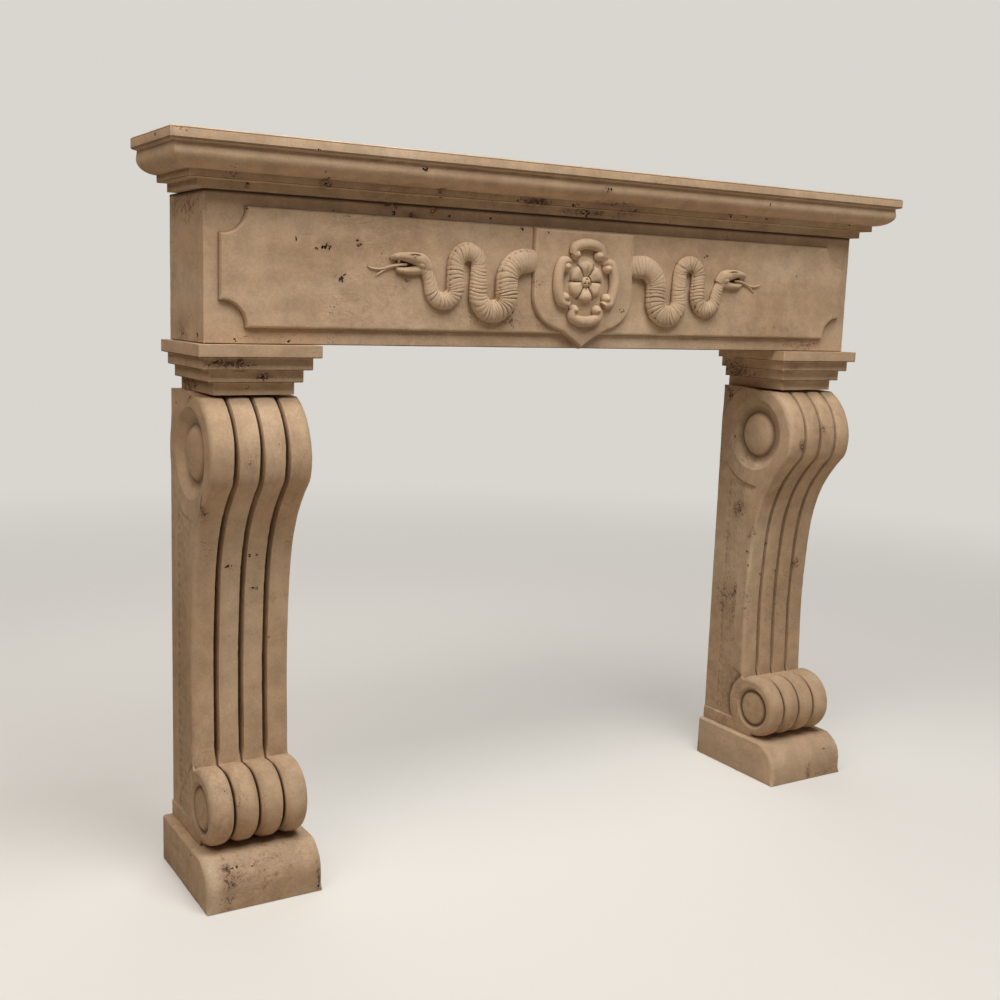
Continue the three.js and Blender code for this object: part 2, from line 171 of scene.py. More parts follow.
# Broken hollows by piece: a place on its face, their mean radius, how many there are, and how far
# they scatter along X, Y and Z.
MARKS = {
    "frieze_panel": [
        (-579, -71, 1263, 2.2, 9, 10, 0, 6), (-599, -71, 1260, 1.6, 3, 5, 0, 4),
        (-642, -71, 1272, 1.8, 2, 1, 0, 8), (-552, -71, 1204, 2, 5, 6, 0, 6),
        (-541, -71, 1214, 1.5, 2, 4, 0, 3), (-511, -71, 1274, 1.8, 4, 7, 0, 6),
        (-537, -71, 1321, 1.5, 2, 3, 0, 2), (-145, -71, 1321, 2, 2, 3, 0, 2),
        (-167, -71, 1139, 1.5, 3, 6, 0, 3), (351, -71, 1288, 1.8, 4, 6, 0, 3),
        (634, -71, 1254, 1.6, 3, 3, 0, 5), (-736, -67, 1325, 2, 2, 0, 4, 3),
    ],
    "frieze_stone": [
        (-565, -61, 1332, 1.8, 2, 3, 0, 2), (-397, -61, 1334, 2.4, 4, 7, 0, 4),
        (-346, -61, 1345, 2.6, 5, 6, 0, 5), (-437, -61, 1335, 2.2, 3, 5, 0, 3),
        (-448, -60, 1354, 2, 3, 8, 0, 2), (-314, -61, 1337, 1.6, 2, 4, 0, 2),
        (-214, -61, 1340, 1.8, 2, 4, 0, 2), (-754, -61, 1085, 1.6, 3, 4, 0, 2),
        (-652, -61, 1084, 1.8, 2, 3, 0, 2), (-816, -23, 1090, 2.4, 3, 0, 3, 4),
        (-781, -61, 1311, 1.4, 1, 1, 0, 1), (623, -61, 1092, 1.4, 4, 8, 0, 3),
    ],
    "shelf_stone": [
        (-259, -51, 1355, 1.6, 3, 8, 0, 2), (-590, -97, 1373, 2.8, 8, 8, 0, 4),
        (-596, -110, 1386, 2, 4, 7, 0, 1), (-609, -127, 1395, 1.8, 4, 5, 0, 3),
        (-738, -77, 1366, 2, 3, 5, 0, 2), (-352, -98, 1385, 2.4, 4, 4, 0, 3),
        (-342, -77, 1370, 2, 2, 2, 0, 2), (-407, -135, 1414, 1.8, 4, 5, 0, 4),
        (-627, -145, 1431, 2, 2, 3, 0, 1), (-106, -101, 1385, 2.6, 7, 9, 0, 2),
        (-134, -92, 1372, 2.8, 8, 10, 0, 3), (-173, -97, 1375, 2, 4, 5, 0, 3),
        (-33, -97, 1376, 1.8, 6, 14, 0, 3), (7, -77, 1363, 2.2, 6, 12, 0, 3),
        (23, -135, 1409, 1.8, 7, 9, 0, 5), (57, -107, 1386, 2, 3, 5, 0, 2), (211, -97, 1384, 2, 2, 3, 0, 1),
        (113, -94, 1371, 2, 5, 9, 0, 3), (479, -135, 1409, 1.6, 3, 5, 0, 4),
        (254, -129, 1396, 1.4, 3, 5, 0, 4), (392, -97, 1383, 2.2, 3, 4, 0, 3),
        (441, -96, 1381, 2, 2, 3, 0, 2), (502, -97, 1381, 2, 2, 3, 0, 2), (774, -97, 1384, 1.5, 3, 7, 0, 2),
        (-900, -56, 1441, 1.6, 3, 0, 5, 4), (-832, 36, 1364, 1.8, 2, 0, 3, 2),
    ],
    "frieze_shield": [
        (-87, -81, 1316, 1.6, 3, 4, 0, 3), (114, -81, 1163, 1.3, 5, 7, 0, 7),
    ],
    "capital_left_stone": [
        (-800, -78, 1045, 2.4, 5, 8, 0, 2), (-772, -78, 1041, 2.4, 6, 8, 0, 2),
        (-743, -78, 1040, 2.4, 5, 8, 0, 2), (-703, -64, 1018, 2.8, 8, 8, 0, 3),
        (-794, 58, 991, 2.6, 5, 0, 6, 3), (-733, -50, 995, 1.6, 3, 8, 0, 2),
    ],
    "leg_left_stone": [
        (-709, -8, 663, 2.2, 2, 2, 0, 2), (-693, -9, 664, 1.6, 1, 1, 0, 1),
        (-750, -4, 642, 1.6, 6, 8, 0, 4), (-814, -49, 761, 1.8, 6, 6, 0, 7), (-694, 3, 598, 2, 5, 5, 0, 5),
        (-662, 11, 492, 1.6, 3, 3, 0, 3), (-814, 6, 243, 1.3, 2, 2, 0, 2),
        (-786, -91, 224, 1.6, 4, 3, 0, 4), (-819, 101, 959, 3.2, 2, 0, 2, 2),
    ],
    "leg_right_stone": [
        (659, -109, 850, 2.6, 9, 6, 0, 6), (724, -107, 888, 2.4, 5, 5, 0, 5),
        (624, 97, 851, 2.4, 3, 3, 0, 5), (619, 12, 532, 1.8, 5, 0, 8, 6), (659, 10, 508, 2, 4, 5, 0, 2),
        (781, 9, 527, 1.6, 8, 8, 0, 7), (618, 15, 565, 1.6, 4, 0, 6, 5), (619, 56, 674, 2, 8, 0, 9, 9),
        (672, 13, 587, 2.4, 3, 0, 3, 3), (711, 10, 512, 1.8, 2, 2, 0, 3), (621, 119, 954, 3.5, 4, 0, 4, 4),
        (693, -90, 936, 1.4, 4, 6, 0, 6), (687, -101, 137, 2, 2, 2, 0, 2),
    ],
    "plinth_left_stone": [
        (-780, -124, 79, 1.8, 8, 8, 0, 7), (-743, -127, 76, 1.2, 4, 7, 0, 5),
        (-612, -140, 11, 2, 2, 2, 0, 2), (-838, -43, 78, 1.4, 4, 0, 3, 9),
    ],
    "plinth_right_stone": [
        (782, -132, 71, 1.4, 3, 5, 0, 3),
    ],
}

# Stains, and painted light: a place, the reach along X, Y and Z, and the strength. The patch at
# the top of the frieze's left end, under the shelf, and the one on the shield's lower left flank are
# painted shade; the two below 0 are paler, as painted highlights on the plinths' front left corners.
STAINS_AND_PAINTED_LIGHT = [
    (-592, -98, 1378, 13, 22, 11, 1), (-352, -98, 1385, 9, 16, 8, 0.7), (-128, -94, 1376, 42, 22, 10, 0.9),
    (10, -80, 1364, 62, 22, 8, 0.7), (60, -107, 1386, 60, 15, 6, 0.5), (130, -90, 1370, 44, 20, 9, 0.5),
    (-738, -77, 1366, 9, 12, 6, 0.5), (-407, -135, 1414, 8, 8, 7, 0.4), (23, -135, 1409, 13, 10, 9, 0.4),
    (-346, -61, 1345, 13, 8, 9, 0.7), (-397, -61, 1334, 11, 8, 6, 0.6), (-440, -60, 1352, 24, 8, 8, 0.6),
    # The first entry below is painted shade at the top of the frieze's left end, under the shelf.
    (-816, 40, 1330, 8, 120, 34, 0.36), (-816, 70, 1097, 8, 34, 22, 0.4), (-816, -25, 1092, 8, 7, 10, 0.6),
    (-579, -71, 1263, 16, 8, 11, 0.45), (-552, -71, 1207, 12, 8, 10, 0.35), (-511, -71, 1274, 9, 8, 9, 0.3),
    (-420, -71, 1205, 26, 8, 22, 0.3), (-165, -71, 1150, 22, 8, 34, 0.35),
    (-772, -78, 1043, 44, 8, 9, 1.0), (-703, -64, 1018, 17, 9, 8, 1.0), (-794, 90, 989, 9, 44, 14, 0.8),
    (614, 100, 1018, 14, 70, 34, 0.7), (640, -70, 1040, 26, 10, 20, 0.5),
    (-814, -49, 761, 9, 14, 14, 0.5), (-750, -4, 642, 15, 10, 9, 0.4), (-694, 3, 598, 9, 9, 8, 0.4),
    (-640, -92, 118, 70, 40, 16, 0.2), (-786, -91, 224, 6, 8, 8, 0.4),
    (659, -109, 850, 14, 14, 14, 0.8), (724, -107, 888, 12, 12, 12, 0.6), (781, 9, 527, 13, 12, 15, 0.6),
    (619, 69, 410, 8, 46, 54, 0.3), (624, 20, 440, 10, 26, 40, 0.22), (660, -30, 720, 40, 20, 26, 0.3),
    (672, 13, 587, 6, 6, 8, 0.6), (619, 56, 674, 8, 16, 22, 0.35), (621, 122, 962, 8, 22, 26, 0.5),
    # The second entry below, paler, is a painted highlight on the left plinth's front left corner.
    (-796, -132, 56, 11, 26, 46, 0.5), (-824, -125, 50, 13, 40, 70, -0.7), (-607, -138, 34, 9, 18, 28, 0.7),
    (-838, 10, 22, 8, 50, 16, 0.4), (726, -141, 22, 9, 12, 22, 0.4), (775, -141, 12, 44, 14, 16, 0.28),
    # A painted highlight, paler, on the right plinth's front left corner.
    (640, -132, 50, 14, 30, 60, -0.4),
    (618, 67, 671, 8, 22, 22, 0.5), (618, -1, 618, 8, 18, 26, 0.45), (618, 95, 593, 8, 16, 22, 0.4),
    (618, 47, 456, 8, 26, 30, 0.35), (618, 105, 440, 8, 24, 44, 0.4), (618, -39, 276, 8, 26, 22, 0.4),
    (618, 6, 934, 8, 30, 14, 0.4), (618, 60, 189, 8, 30, 26, 0.3), (618, 20, 60, 8, 90, 26, 0.22),
    (-818, -57, 765, 8, 30, 22, 0.3), (-818, -56, 659, 8, 34, 20, 0.25), (-818, 79, 377, 8, 16, 60, 0.25),
    (-818, 90, 200, 8, 20, 60, 0.35), (-720, -120, 50, 120, 60, 60, 0.2), (-700, -60, 97, 110, 80, 20, 0.1),
    # The second entry below is painted shade on the shield's lower left flank.
    (700, -60, 97, 110, 80, 20, 0.1), (-110, -71, 1130, 60, 8, 22, 0.2), (560, -71, 1120, 120, 8, 22, 0.2),
    (690, -61, 1090, 60, 8, 16, 0.35), (-700, -61, 1090, 80, 8, 16, 0.2), (720, 12, 430, 90, 30, 120, 0.18),
]


# Smooth numbers

def smooth(x, low, high):
    """0 below low, 1 above high, and 3t^2 - 2t^3 between them."""
    t = np.clip((x - low) / (high - low), 0.0, 1.0)
    return t * t * (3.0 - 2.0 * t)


def cloud(points, size, seed):
    """A smooth random field, mostly between -1 and 1: the sum of sine waves with seeded directions and
    phases and wavelengths round one size, over twice its usual spread."""
    rng = np.random.default_rng(seed)
    waves = 20
    directions = rng.normal(size=(3, waves))
    directions /= np.linalg.norm(directions, axis=0)
    lengths = size * rng.uniform(0.6, 1.7, waves)
    phases = rng.uniform(0.0, 2.0 * np.pi, waves)
    flat = points.reshape(-1, 3)
    values = np.sin(flat @ (directions * (2.0 * np.pi / lengths)) + phases).sum(axis=1)
    return (values / (2.0 * math.sqrt(waves / 2.0))).reshape(points.shape[:-1])


def arc(x, y, radius, start, stop, count):
    """Points on a circle, with angles in degrees."""
    angles = np.radians(np.linspace(start, stop, count))
    return np.stack([x + radius * np.cos(angles), y + radius * np.sin(angles)], axis=1)


def placed(x, reach, z):
    """Points from their places along the shelf, reaches and heights."""
    return np.stack(np.broadcast_arrays(x, WALL_Y - reach, z), axis=-1)


def blurred(columns, width):
    """Each column averaged over a window of rows, with a raised cosine for weights and its first and
    last rows repeated past the ends."""
    window = np.hanning(width)
    window /= window.sum()
    padded = np.pad(columns, ((width // 2, width // 2), (0, 0)), mode="edge")
    return np.stack([np.convolve(column, window, mode="valid") for column in padded.T], axis=1)


def along_spline(controls, shares):
    """A uniform Catmull-Rom curve through the controls: on each span the cubic that meets both ends
    with half the chord between their neighbours as its slope."""
    controls = np.asarray(controls, float)
    last = len(controls) - 1
    place = np.clip(shares, 0.0, 1.0) * last
    span = np.minimum(place.astype(int), last - 1)
    t = (place - span)[:, None]
    before = controls[np.maximum(span - 1, 0)]
    start = controls[span]
    end = controls[span + 1]
    after = controls[np.minimum(span + 2, last)]
    slope_start = (end - before) / 2.0
    slope_end = (after - start) / 2.0
    return (
        (2 * start - 2 * end + slope_start + slope_end) * t ** 3
        + (-3 * start + 3 * end - 2 * slope_start - slope_end) * t ** 2
        + slope_start * t
        + start
    )


def even_steps(path, step):
    """The same path with points at even distances, about step apart; extra columns are carried."""
    distance = np.linalg.norm(np.diff(path[:, :2], axis=0), axis=1)
    travelled = np.concatenate([[0.0], np.cumsum(distance)])
    count = max(int(round(travelled[-1] / step)), 1) + 1
    wanted = np.linspace(0.0, travelled[-1], count)
    return np.stack([np.interp(wanted, travelled, column) for column in path.T], axis=1)


def rounded(corners, radius):
    """A profile through the corners, in steps of about 5 mm, with each inner corner turned into a
    quadratic curve that starts and ends at most radius away. Columns: the two coordinates, and 1 on
    a convex curve, -1 on a concave one."""
    step = 5.0
    corners = np.asarray(corners, float)
    pieces = [np.append(corners[0], 0.0)[None]]
    t = np.linspace(0.0, 1.0, 5)[:, None]
    for before, here, after in zip(corners[:-2], corners[1:-1], corners[2:]):
        into = before - here
        out = after - here
        long_in, long_out = np.linalg.norm(into), np.linalg.norm(out)
        bend = math.degrees(math.acos(np.clip(-into @ out / long_in / long_out, -1, 1)))
        if bend < 25:
            pieces.append(np.append(here, 0.0)[None])
            continue
        start = here + into / long_in * min(radius, 0.45 * min(long_in, long_out))
        end = here + out / long_out * min(radius, 0.45 * min(long_in, long_out))
        turn = np.sign(into[0] * out[1] - into[1] * out[0])
        curve = (1 - t) ** 2 * start + 2 * t * (1 - t) * here + t ** 2 * end
        gap = start - pieces[-1][-1, :2]
        steps = max(int(np.linalg.norm(gap) // step), 1)
        between = pieces[-1][-1, :2] + gap * (np.arange(1, steps) / steps)[:, None]
        pieces.append(np.column_stack([between, np.zeros(len(between))]))
        pieces.append(np.column_stack([curve, turn * 4 * t * (1 - t)]))
    gap = corners[-1] - pieces[-1][-1, :2]
    steps = max(int(np.linalg.norm(gap) // step), 1)
    tail = pieces[-1][-1, :2] + gap * (np.arange(1, steps + 1) / steps)[:, None]
    pieces.append(np.column_stack([tail, np.zeros(len(tail))]))
    return np.concatenate(pieces)


# Closed shapes as arrays

def grid_quads(rows, columns):
    """Quads between neighbouring rows of a grid whose last column meets its first."""
    row, column = np.meshgrid(np.arange(rows - 1), np.arange(columns), indexing="ij")
    here = row * columns + column
    beside = row * columns + (column + 1) % columns
    return np.stack([here, beside, beside + columns, here + columns], axis=-1).reshape(-1, 4)


def signed_volume(points, quads, caps):
    """A sixth of the sum of the triple products of all faces' triangles, fanned from a first corner."""
    a, b, c, d = (points[quads[:, k]] for k in range(4))
    total = np.einsum("ij,ij->", a, np.cross(b, c)) + np.einsum("ij,ij->", a, np.cross(c, d))
    for cap in caps:
        ring = points[cap]
        total += np.einsum("j,ij->", ring[0], np.cross(ring[1:-1], ring[2:]))
    return total / 6.0


def closed_shape(grid, wear_and_shade=None):
    """A solid skin from a grid of points: each row is a closed ring and the first and last rows are
    closed flat. The wear values are above 0 on rubbed arrises, and below 0 for brown dirt and for
    shade painted into creases, grooves, undersides and roots; hollow is 1 on the walls of broken hollows."""
    rows, columns = grid.shape[:2]
    points = grid.reshape(-1, 3).copy()
    quads = grid_quads(rows, columns)
    caps = [np.arange(columns)[::-1], np.arange(columns) + (rows - 1) * columns]
    if signed_volume(points, quads, caps) < 0:
        quads = quads[:, ::-1]
        caps = [cap[::-1] for cap in caps]
    wear_and_shade = np.zeros(rows * columns) if wear_and_shade is None else np.broadcast_to(wear_and_shade, (rows, columns)).ravel()
    return {"points": points, "quads": quads, "caps": caps, "wear_and_shade": wear_and_shade.astype(float), "hollow": 0.0}


def together(shapes):
    """Several closed shapes in one set of arrays."""
    starts = np.cumsum([0] + [len(shape["points"]) for shape in shapes])
    return {
        "points": np.concatenate([shape["points"] for shape in shapes]),
        "quads": np.concatenate([shape["quads"] + start for shape, start in zip(shapes, starts)]),
        "caps": [cap + start for shape, start in zip(shapes, starts) for cap in shape["caps"]],
        "wear_and_shade": np.concatenate([shape["wear_and_shade"] for shape in shapes]),
        "hollow": shapes[0]["hollow"],
    }


def normals_of(shape):
    """Each point's outward direction: the sum of the area vectors of the quads round it."""
    points, quads = shape["points"], shape["quads"]
    across = points[quads[:, 2]] - points[quads[:, 0]]
    other = points[quads[:, 3]] - points[quads[:, 1]]
    area = np.cross(across, other)
    total = np.zeros_like(points)
    for corner in range(4):
        np.add.at(total, quads[:, corner], area)
    return total / np.maximum(np.linalg.norm(total, axis=1, keepdims=True), 1e-9)


def weathered(shape, seed, hollow, nick):
    """The shape pushed in along its normals: by a slow unevenness everywhere, and on arrises by the
    peaks of a finer field, as small rubbed-off nicks."""
    points = shape["points"]
    normals = normals_of(shape)
    slow = 0.5 + 0.5 * np.clip(cloud(points, 90.0, seed), -1, 1)
    fine = 0.5 + 0.5 * np.clip(cloud(points, 14.0, seed + 1), -1, 1)
    peaks = smooth(cloud(points, 26.0, seed + 2), 0.35, 0.95)
    arris = np.clip(shape["wear_and_shade"], 0.0, 1.0)
    inward = hollow * (0.7 * slow + 0.3 * fine) + nick * arris * (0.25 * fine + peaks)
    shape["points"] = points - normals * inward[:, None]
    return shape


def hollow_form(place, size, rng):
    """A lumpy ball, drawn out by a random share along each axis, for a broken hollow."""
    up = np.radians(np.linspace(-88, 88, 9))[:, None]
    around = np.radians(np.arange(14) * 360 / 14)
    ball = np.stack([
        np.cos(up) * np.cos(around), np.cos(up) * np.sin(around), np.sin(up) * np.ones(14),
    ], axis=-1)
    lumps = 1 + 0.35 * np.clip(cloud(ball * 10, 9.0, int(rng.integers(1, 9999))), -1, 1)[..., None]
    shape = closed_shape(place + ball * lumps * size * rng.uniform(0.55, 1.35, 3))
    shape["hollow"] = 1.0
    return shape


def pitted(piece):
    """Cuts the piece's marks into it as clusters of hollows."""
    marks = MARKS.get(piece.name, [])
    rng = np.random.default_rng(len(marks) + 5)
    forms = []
    for x, y, z, size, count, *spread in marks:
        for _ in range(count):
            place = np.array([x, y, z]) + rng.uniform(-1, 1, 3) * spread
            forms.append(hollow_form(place, size * rng.uniform(0.6, 1.6), rng))
    if forms:
        cut(piece, [stone_piece("hollows", together(forms), None, travertine)])


def stain_and_painted_light_at(points):
    """How stained the stone is at each point, and how strongly light is painted on it: the sum over
    the list's entries of their strength times a Gaussian of the distance, each axis in its own reach."""
    total = np.zeros(len(points))
    for *place, reach_x, reach_y, reach_z, strength in STAINS_AND_PAINTED_LIGHT:
        away = (points - np.array(place)) / np.array([reach_x, reach_y, reach_z])
        total += strength * np.exp(-np.sum(away * away, axis=1))
    return np.clip(total, -1.0, 1.0)


def points_of(mesh):
    """A mesh's points, in metres."""
    points = np.zeros(3 * len(mesh.vertices), np.float32)
    mesh.vertices.foreach_get("co", points)
    return points.reshape(-1, 3)


def scored(piece, step):
    """Splits a piece's large flat faces along planes a step apart in X and Z, for stains and painted light
    on them.
    """
    mesh = piece.data
    low, high = points_of(mesh).min(axis=0), points_of(mesh).max(axis=0)
    form = bmesh.new()
    form.from_mesh(mesh)
    for axis in (0, 2):
        normal = np.eye(3)[axis]
        for place in np.arange(low[axis] + step * MM, high[axis], step * MM):
            everything = [*form.verts, *form.edges, *form.faces]
            bmesh.ops.bisect_plane(
                form, geom=everything, dist=1e-6, plane_co=normal * place, plane_no=normal,
            )
    form.to_mesh(mesh)
    form.free()
    stains_and_painted_light = stain_and_painted_light_at(points_of(mesh) / MM).astype(np.float32)
    mesh.attributes["stain_and_painted_light"].data.foreach_set("value", stains_and_painted_light)
    shade(mesh)


def put(name, data):
    """A new object of these data, in the scene."""
    thing = bpy.data.objects.new(name, data)
    bpy.context.scene.collection.objects.link(thing)
    return thing


def stone_piece(name, shape, node, material, sharp=SHARP):
    """Puts the arrays into a mesh in metres, with its wear and painted shade, its stains and painted
    light, and its hollows as attributes, as one shaded piece that stands for its CAD node."""
    mesh = bpy.data.meshes.new(name)
    quads, caps = shape["quads"], shape["caps"]
    sizes = np.concatenate([np.full(len(quads), 4), [len(cap) for cap in caps]]).astype(np.int32)
    corners = np.concatenate([quads.ravel(), *caps]).astype(np.int32)
    mesh.vertices.add(len(shape["points"]))
    mesh.vertices.foreach_set("co", (shape["points"] * MM).astype(np.float32).ravel())
    mesh.loops.add(len(corners))
    mesh.loops.foreach_set("vertex_index", corners)
    mesh.polygons.add(len(sizes))
    starts = np.cumsum(sizes) - sizes
    mesh.polygons.foreach_set("loop_start", starts.astype(np.int32))
    inside = np.full(len(sizes), shape["hollow"])
    for label, where, values in zip(
        LABELS, ("POINT", "POINT", "FACE"), (stain_and_painted_light_at(shape["points"]), shape["wear_and_shade"], inside),
    ):
        mesh.attributes.new(label, "FLOAT", where).data.foreach_set("value", values.astype(np.float32))
    mesh.update(calc_edges=True)
    mesh.validate()
    piece = put(name, mesh)
    mesh.materials.append(material)
    shade(mesh, sharp)
    if node:
        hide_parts(node)
        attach(piece, "root")
    return piece


def shade(mesh, sharp=SHARP):
    """Shades a mesh smooth, apart from edges that turn by more than sharp degrees."""
    mesh.shade_smooth()
    mesh.set_sharp_from_angle(angle=math.radians(sharp))


def cut(piece, cutters):
    """Takes the cutters' closed forms out of the piece and keeps the result as its mesh."""
    for cutter in cutters:
        knife = piece.modifiers.new("cut", "BOOLEAN")
        knife.operation = "DIFFERENCE"
        knife.solver = "MANIFOLD"
        knife.object = cutter
    graph = bpy.context.evaluated_depsgraph_get()
    carved = bpy.data.meshes.new_from_object(piece.evaluated_get(graph))
    piece.modifiers.clear()
    plain = piece.data
    carved.name = plain.name
    piece.data = carved
    bpy.data.meshes.remove(plain)
    for cutter in cutters:
        form = cutter.data
        bpy.data.objects.remove(cutter)
        bpy.data.meshes.remove(form)
    shade(piece.data)


# Square-cut stones with mouldings round the front and both ends

def moulded_ring(half, reach, z, back, corner, step):
    """Rings round a stone in plan, one for each profile row: a rectangle with rounded corners from
    -half to half and from the back to the reach. Equal places on each ring line up."""
    long_side = np.linspace(-1.0, 1.0, max(int(2 * half.max() / step), 2) + 1)
    deep_side = np.linspace(0.0, 1.0, max(int((reach.max() - back) / step), 2) + 1)
    coarse = np.linspace(1.0, -1.0, 25)
    turn = np.linspace(0.0, 90.0, 5)
    runs = [
        (long_side, np.ones_like(long_side), np.full_like(long_side, 90.0)),
        (np.ones(5), np.ones(5), 90.0 - turn),
        (np.ones_like(deep_side), deep_side[::-1], np.zeros_like(deep_side)),
        (np.ones(5), np.zeros(5), -turn),
        (coarse, np.zeros_like(coarse), np.full_like(coarse, -90.0)),
        (-np.ones(5), np.zeros(5), -90.0 - turn),
        (-np.ones_like(deep_side), deep_side, np.full_like(deep_side, -180.0)),
        (-np.ones(5), np.ones(5), 180.0 - turn),
    ]
    along = np.concatenate([run[0] for run in runs])
    out = np.concatenate([run[1] for run in runs])
    angle = np.radians(np.concatenate([run[2] for run in runs]))
    keep = np.ones(len(along), bool)
    keep[1:] = (np.abs(np.diff(along)) + np.abs(np.diff(out)) + np.abs(np.diff(angle))) > 1e-6
    keep[-1] = False
    along, out, angle = along[keep], out[keep], angle[keep]
    x = along * (half[:, None] - corner) + corner * np.cos(angle)
    front = reach[:, None] - corner
    distance = back + corner + out * (front - back - corner) + corner * np.sin(angle)
    turning = (np.abs(np.cos(angle)) > 0.05) & (np.abs(np.sin(angle)) > 0.05)
    arris = np.where(turning & (out > 0.5), 1.0, 0.0)
    return placed(x, distance, z[:, None]), np.broadcast_to(arris, x.shape)


def moulded_stone(profile, centre_x, half, reach, back, base, radius, step, seed, reach_steps=None, **wear):
    """A profile of projection and height carried round a stone, its corners rounded by radius."""
    rows = rounded(profile, radius)
    out, up, bend = rows.T
    forward = out if reach_steps is None else np.interp(out, *reach_steps)
    grid, corner_arris = moulded_ring(half + out, reach + forward, base + up, back, PLAN_CORNER, step)
    grid[..., 0] += centre_x
    # Convex curves of the profile and the rounded upright corners are rubbed paler; its concave curves, the
    # inner corners under each step and moulding, are painted shade.
    wear_and_shade = np.clip(bend, -1, 1)[:, None] + 0.6 * corner_arris
    return weathered(closed_shape(grid, np.clip(wear_and_shade, -1, 1)), seed, **wear)


def shelf_profile():
    """Two fillets, a quarter ellipse that swells out to the slab, and the slab's edge."""
    t = np.radians(np.linspace(0, 90, 12))
    swell = np.stack([
        OVOLO["from"] + OVOLO["width"] * np.sin(t),
        OVOLO["z"] + OVOLO["height"] * (1 - np.cos(t)),
    ], axis=1)
    return [*FILLETS, *swell.tolist(), *SLAB]


def capital_profile():
    """Four steps, each wider than the one below it."""
    low, high = box_mm("capital_left")
    step = (high[2] - low[2]) / len(CAPITAL_HALF_WIDTHS)
    corners = []
    for i, half in enumerate(CAPITAL_HALF_WIDTHS):
        out = half - CAPITAL_HALF_WIDTHS[0]
        corners += [(out, i * step), (out, (i + 1) * step)]
    return corners


# Legs

def leg_outline():
    """The leg's front from top to bottom: the volute's arc, the shaft's spline and the scroll's arc.
    Columns: reach, height, outward direction's two parts, groove depth, crown of a reed, the share
    of a reed's half-width where its groove starts, how far its section is a round lobe, and the
    radius of the leg's outer edges. Where the arc meets the shaft, place and direction are smoothed
    by a window of 31 points."""
    angles = np.linspace(VOLUTE_START, VOLUTE_END, 84)
    upper = smooth(angles, -20, 30)
    deeper = (SHAFT_GROOVE_DEPTH - VOLUTE_GROOVE_DEPTH) * smooth(-angles, -25, 20)
    volute = np.column_stack([
        arc(VOLUTE["reach"], VOLUTE["z"], VOLUTE["radius"], VOLUTE_START, VOLUTE_END, 84),
        arc(0, 0, 1, VOLUTE_START, VOLUTE_END, 84),
        VOLUTE_GROOVE_DEPTH * (1 - 0.35 * smooth(angles, 45, 78)) + deeper,
        CROWN + 0.8 * upper, 0.79 + 0.05 * upper, 0.35 * upper,
        SHAFT_ROUND + (VOLUTE_ROUND - SHAFT_ROUND) * upper,
    ])

    lead = arc(VOLUTE["reach"], VOLUTE["z"], VOLUTE["radius"], VOLUTE_END + 14, VOLUTE_END, 2)
    controls = [*lead.tolist(), *SHAFT]
    shares = np.linspace(1 / (len(controls) - 1), 1.0, 190)
    front = along_spline(controls, shares)
    slope = np.gradient(front, axis=0)
    slope /= np.linalg.norm(slope, axis=1, keepdims=True)
    fade = smooth(front[:, 1], 241, 276)
    same = np.ones(len(front))
    shaft = np.column_stack([
        front, -slope[:, 1], slope[:, 0], 2.0 + (SHAFT_GROOVE_DEPTH - 2.0) * fade,
        CROWN * same, 0.79 + 0.05 * (1 - fade), 0 * same, SHAFT_ROUND * same,
    ])[1:]

    contact = math.degrees(math.acos((SHAFT[-1][0] - SCROLL["reach"]) / SCROLL["radius"]))
    passed = contact - np.linspace(contact, SCROLL_END, 120)
    same = np.ones(len(passed))
    scroll = np.column_stack([
        arc(SCROLL["reach"], SCROLL["z"], SCROLL["radius"], contact, SCROLL_END, 120),
        arc(0, 0, 1, contact, SCROLL_END, 120),
        3.0 + (SCROLL_GROOVE_DEPTH - 3.0) * smooth(passed, -4, 22),
        CROWN * same, 0.84 * same, smooth(passed, -30, 12),
        SHAFT_ROUND + (SCROLL_ROUND - SHAFT_ROUND) * smooth(passed, -6, 34),
    ])
    front = np.concatenate([volute, shaft, scroll])
    near = (smooth(-front[:, 1], -872, -836) * smooth(front[:, 1], 690, 750))[:, None]
    front[:, :4] = front[:, :4] * (1 - near) + blurred(front[:, :4], 31) * near
    front[:, 2:4] /= np.linalg.norm(front[:, 2:4], axis=1, keepdims=True)
    return front


def reed_places():
    """Places across the leg in units of a reed's half-width from its middle, closer near grooves."""
    half = np.array([0, 0.22, 0.42, 0.58, 0.7, 0.78, 0.83, 0.865, 0.895, 0.92, 0.945, 0.965, 0.985, 1.0])
    one = np.concatenate([-half[:0:-1], half])
    across = [np.append(one[:-1], 1.0) if reed == REEDS - 1 else one[:-1] for reed in range(REEDS)]
    middle = [np.full(len(places), 2 * reed + 1 - REEDS) for reed, places in enumerate(across)]
    return np.concatenate(across), np.concatenate(middle)


